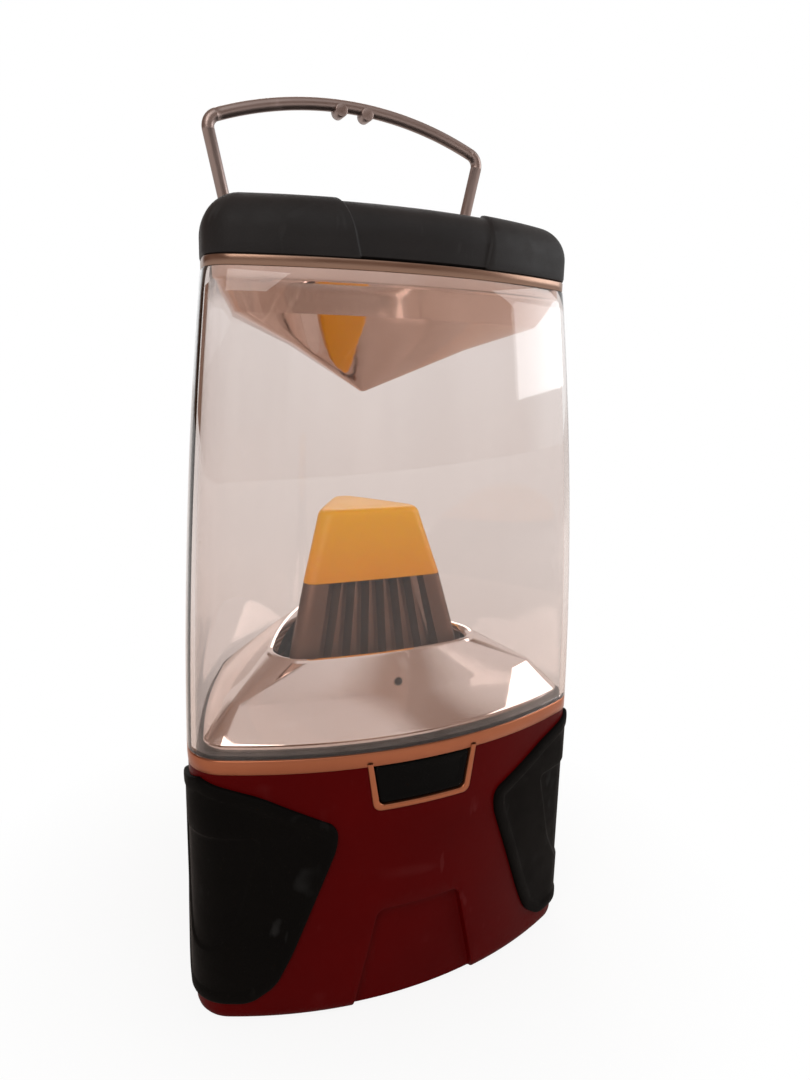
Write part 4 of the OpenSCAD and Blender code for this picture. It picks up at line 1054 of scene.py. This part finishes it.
def bail_studs():
    """Two short studs across the crown, flat at both ends."""
    bm = bmesh.new()
    end = [(0, STUD_HALF_LEN), (STUD_R - 0.45, STUD_HALF_LEN), (STUD_R - 0.15, STUD_HALF_LEN - 0.15),
           (STUD_R, STUD_HALF_LEN - 0.45)]
    turned(bm, end + [(r, -z) for r, z in reversed(end)], 32)
    rotate(bm, Matrix.Rotation(QUARTER_TURN, 3, "X"))
    first = everything(bm)
    second = bmesh.ops.duplicate(bm, geom=first)["geom"]
    for stud, x in ((first, -STUD_X), (second, STUD_X)):
        shift(bm, (x, PIVOT_Y, PIVOT_Z + BAIL_RISE - STUD_DROP), of_kind(stud, VERT))
    piece("bail_studs", bm, "bail", wire_steel, ("bail_stops",), 30)


bail()
bail_studs()

# ---- studio ----

def studio_floor():
    bm = bmesh.new()
    bmesh.ops.create_grid(bm, x_segments=1, y_segments=1, size=FLOOR_SIZE)
    object_of("floor", bm, floor_finish())


FLOOR_SIZE = 30
# Distances in metres between which the floor turns white, as seen straight and in reflections
FLOOR_WHITE_NEAR, FLOOR_WHITE_FAR, FLOOR_WHITE_SHARE = 0.05, 0.18, 0.86
MIRRORED_WHITE_NEAR, MIRRORED_WHITE_FAR, MIRRORED_WHITE_SHARE = 0.30, 0.60, 0.5


def seen_directly(tree):
    """Masks for rays that meet the backdrop straight or through glass, and for reflected ones."""
    paths = tree.nodes.new("ShaderNodeLightPath").outputs
    straight = math_node(tree, "MAXIMUM", paths["Is Camera Ray"], paths["Is Transmission Ray"])
    reflected = math_node(tree, "GREATER_THAN", paths["Glossy Depth"], 0.5)
    return times(tree, straight, math_node(tree, "SUBTRACT", 1.0, reflected)), reflected


def floor_finish():
    """Pale floor that turns into the white backdrop away from the object."""
    f = Finish("studio_floor", (0.87, 0.81, 0.77), 0.9, Specular_IOR_Level=0.1)
    length = new_node(f.tree, "VectorMath", {0: object_coords(f.tree)}, operation="LENGTH")
    distance = length.outputs["Value"]
    near = ramp_node(f.tree, distance, FLOOR_WHITE_NEAR, FLOOR_WHITE_FAR, FLOOR_WHITE_SHARE, 1.0)
    far = ramp_node(f.tree, distance, MIRRORED_WHITE_NEAR, MIRRORED_WHITE_FAR, 0.0, MIRRORED_WHITE_SHARE)
    f.bump(f.use(GRAIN, Scale=300.0).outputs["Height"], 0.00005)
    seen, reflected = seen_directly(f.tree)
    glowing = math_node(f.tree, "MAXIMUM", times(f.tree, near, seen), times(f.tree, far, reflected))
    f.cover(glowing, new_node(f.tree, "Emission", {"Strength": 1.0}).outputs[0])
    return f.material


studio_floor()


def area_light(name, size, energy, location, color=(1, 1, 1)):
    """A square lamp that faces the middle of the lantern."""
    data = bpy.data.lights.new(name, "AREA")
    data.shape, data.size, data.energy, data.color = "SQUARE", size, energy, color
    obj = in_scene(name, data)
    obj.location = location
    obj.rotation_euler = (CENTRE - Vector(location)).to_track_quat("-Z", "Y").to_euler()


CENTRE = Vector((0, 0, 0.17))
area_light("key_light", 0.9, 9.0, (-0.9, -1.0, 1.15), (1.0, 0.97, 0.94))
area_light("side_light", 0.7, 5.0, (1.25, -0.35, 0.65), (0.96, 0.98, 1.0))
area_light("rear_light", 0.8, 5.0, (0.35, 1.15, 0.95))

# ---- world ----

# Where reflections see white, as (direction, cosine where it starts, cosine where it is full):
# the backdrop, the window, and two patches overhead that the lower mirror's outer ring shows
WHITE_TOWARDS = [((0.43, 0.90, 0.0), 0.68, 0.80), ((0.98, 0.20, 0.0), 0.78, 0.90),
                 ((-0.05, -0.60, 0.80), 0.86, 0.92), ((0.70, -0.06, 0.71), 0.95, 0.985)]
ROOM_DARK, ROOM_PALE = (0.17, 0.085, 0.05), (0.50, 0.39, 0.34)
FILL_COLOR, FILL_STRENGTH = (0.80, 0.78, 0.77), 0.5

world = bpy.data.worlds.new("studio")
bpy.context.scene.world = world
world.use_nodes = True
tree = world.node_tree


def backdrop(color, strength=1.0):
    return new_node(tree, "Background", {"Color": rgba(color), "Strength": strength}).outputs[0]


def patch_towards(direction, low, high):
    dot = new_node(tree, "VectorMath", {0: directions, 1: direction}, operation="DOT_PRODUCT")
    return ramp_node(tree, dot.outputs["Value"], low, high)


seen, reflected = seen_directly(tree)
directions = tree.nodes.new("ShaderNodeTexCoord").outputs["Generated"]
white_share = 0.0
for place in WHITE_TOWARDS:
    white_share = math_node(tree, "MAXIMUM", white_share, patch_towards(*place))
white_share = math_node(tree, "MAXIMUM", seen, times(tree, reflected, white_share))
# Elsewhere metal mirrors a dim, uneven room: dark copper corners, pale patches, and brighter overhead
uneven = ramp_node(tree, noise_node(tree, directions, 1.9, 2.0), 0.42, 0.60, 0.0, 0.8)
overhead = ramp_node(tree, z_part(tree, directions), 0.35, 0.95)
room = mix_colors(tree, math_node(tree, "MAXIMUM", uneven, overhead), ROOM_DARK, ROOM_PALE)
unseen = mix_shaders(tree, reflected, backdrop(FILL_COLOR, FILL_STRENGTH), backdrop(room))
link(tree, mix_shaders(tree, white_share, unseen, backdrop((1, 1, 1))),
     tree.nodes["World Output"].inputs["Surface"])

# ---- camera ----

CAMERA_FROM_AXIS = Vector((-117.64, -288.93, 225.92))
FORWARD = Vector((0.42109, 0.88340, -0.20567))
HEADING, ROLL = math.radians(25.4855), math.radians(1.4605)
SENSOR_WIDTH, FOCAL_LENGTH = 36, 26.445
CLIP_START, CLIP_END = 0.01, 100

level_right = Vector((math.cos(HEADING), -math.sin(HEADING), 0))
level_up = level_right.cross(FORWARD)
right = level_right * math.cos(ROLL) + level_up * math.sin(ROLL)
up = level_up * math.cos(ROLL) - level_right * math.sin(ROLL)
camera_data = bpy.data.cameras.new("camera")
camera_data.sensor_width, camera_data.lens = SENSOR_WIDTH, FOCAL_LENGTH
camera_data.clip_start, camera_data.clip_end = CLIP_START, CLIP_END
camera = in_scene("camera", camera_data)
turn = Matrix((right, up, -FORWARD)).transposed().to_4x4()
camera.matrix_world = Matrix.Translation((CAMERA_FROM_AXIS + Vector((0, AXIS_Y, 0))) * MM) @ turn
bpy.context.scene.camera = camera
bpy.context.scene.view_settings.view_transform = "Standard"
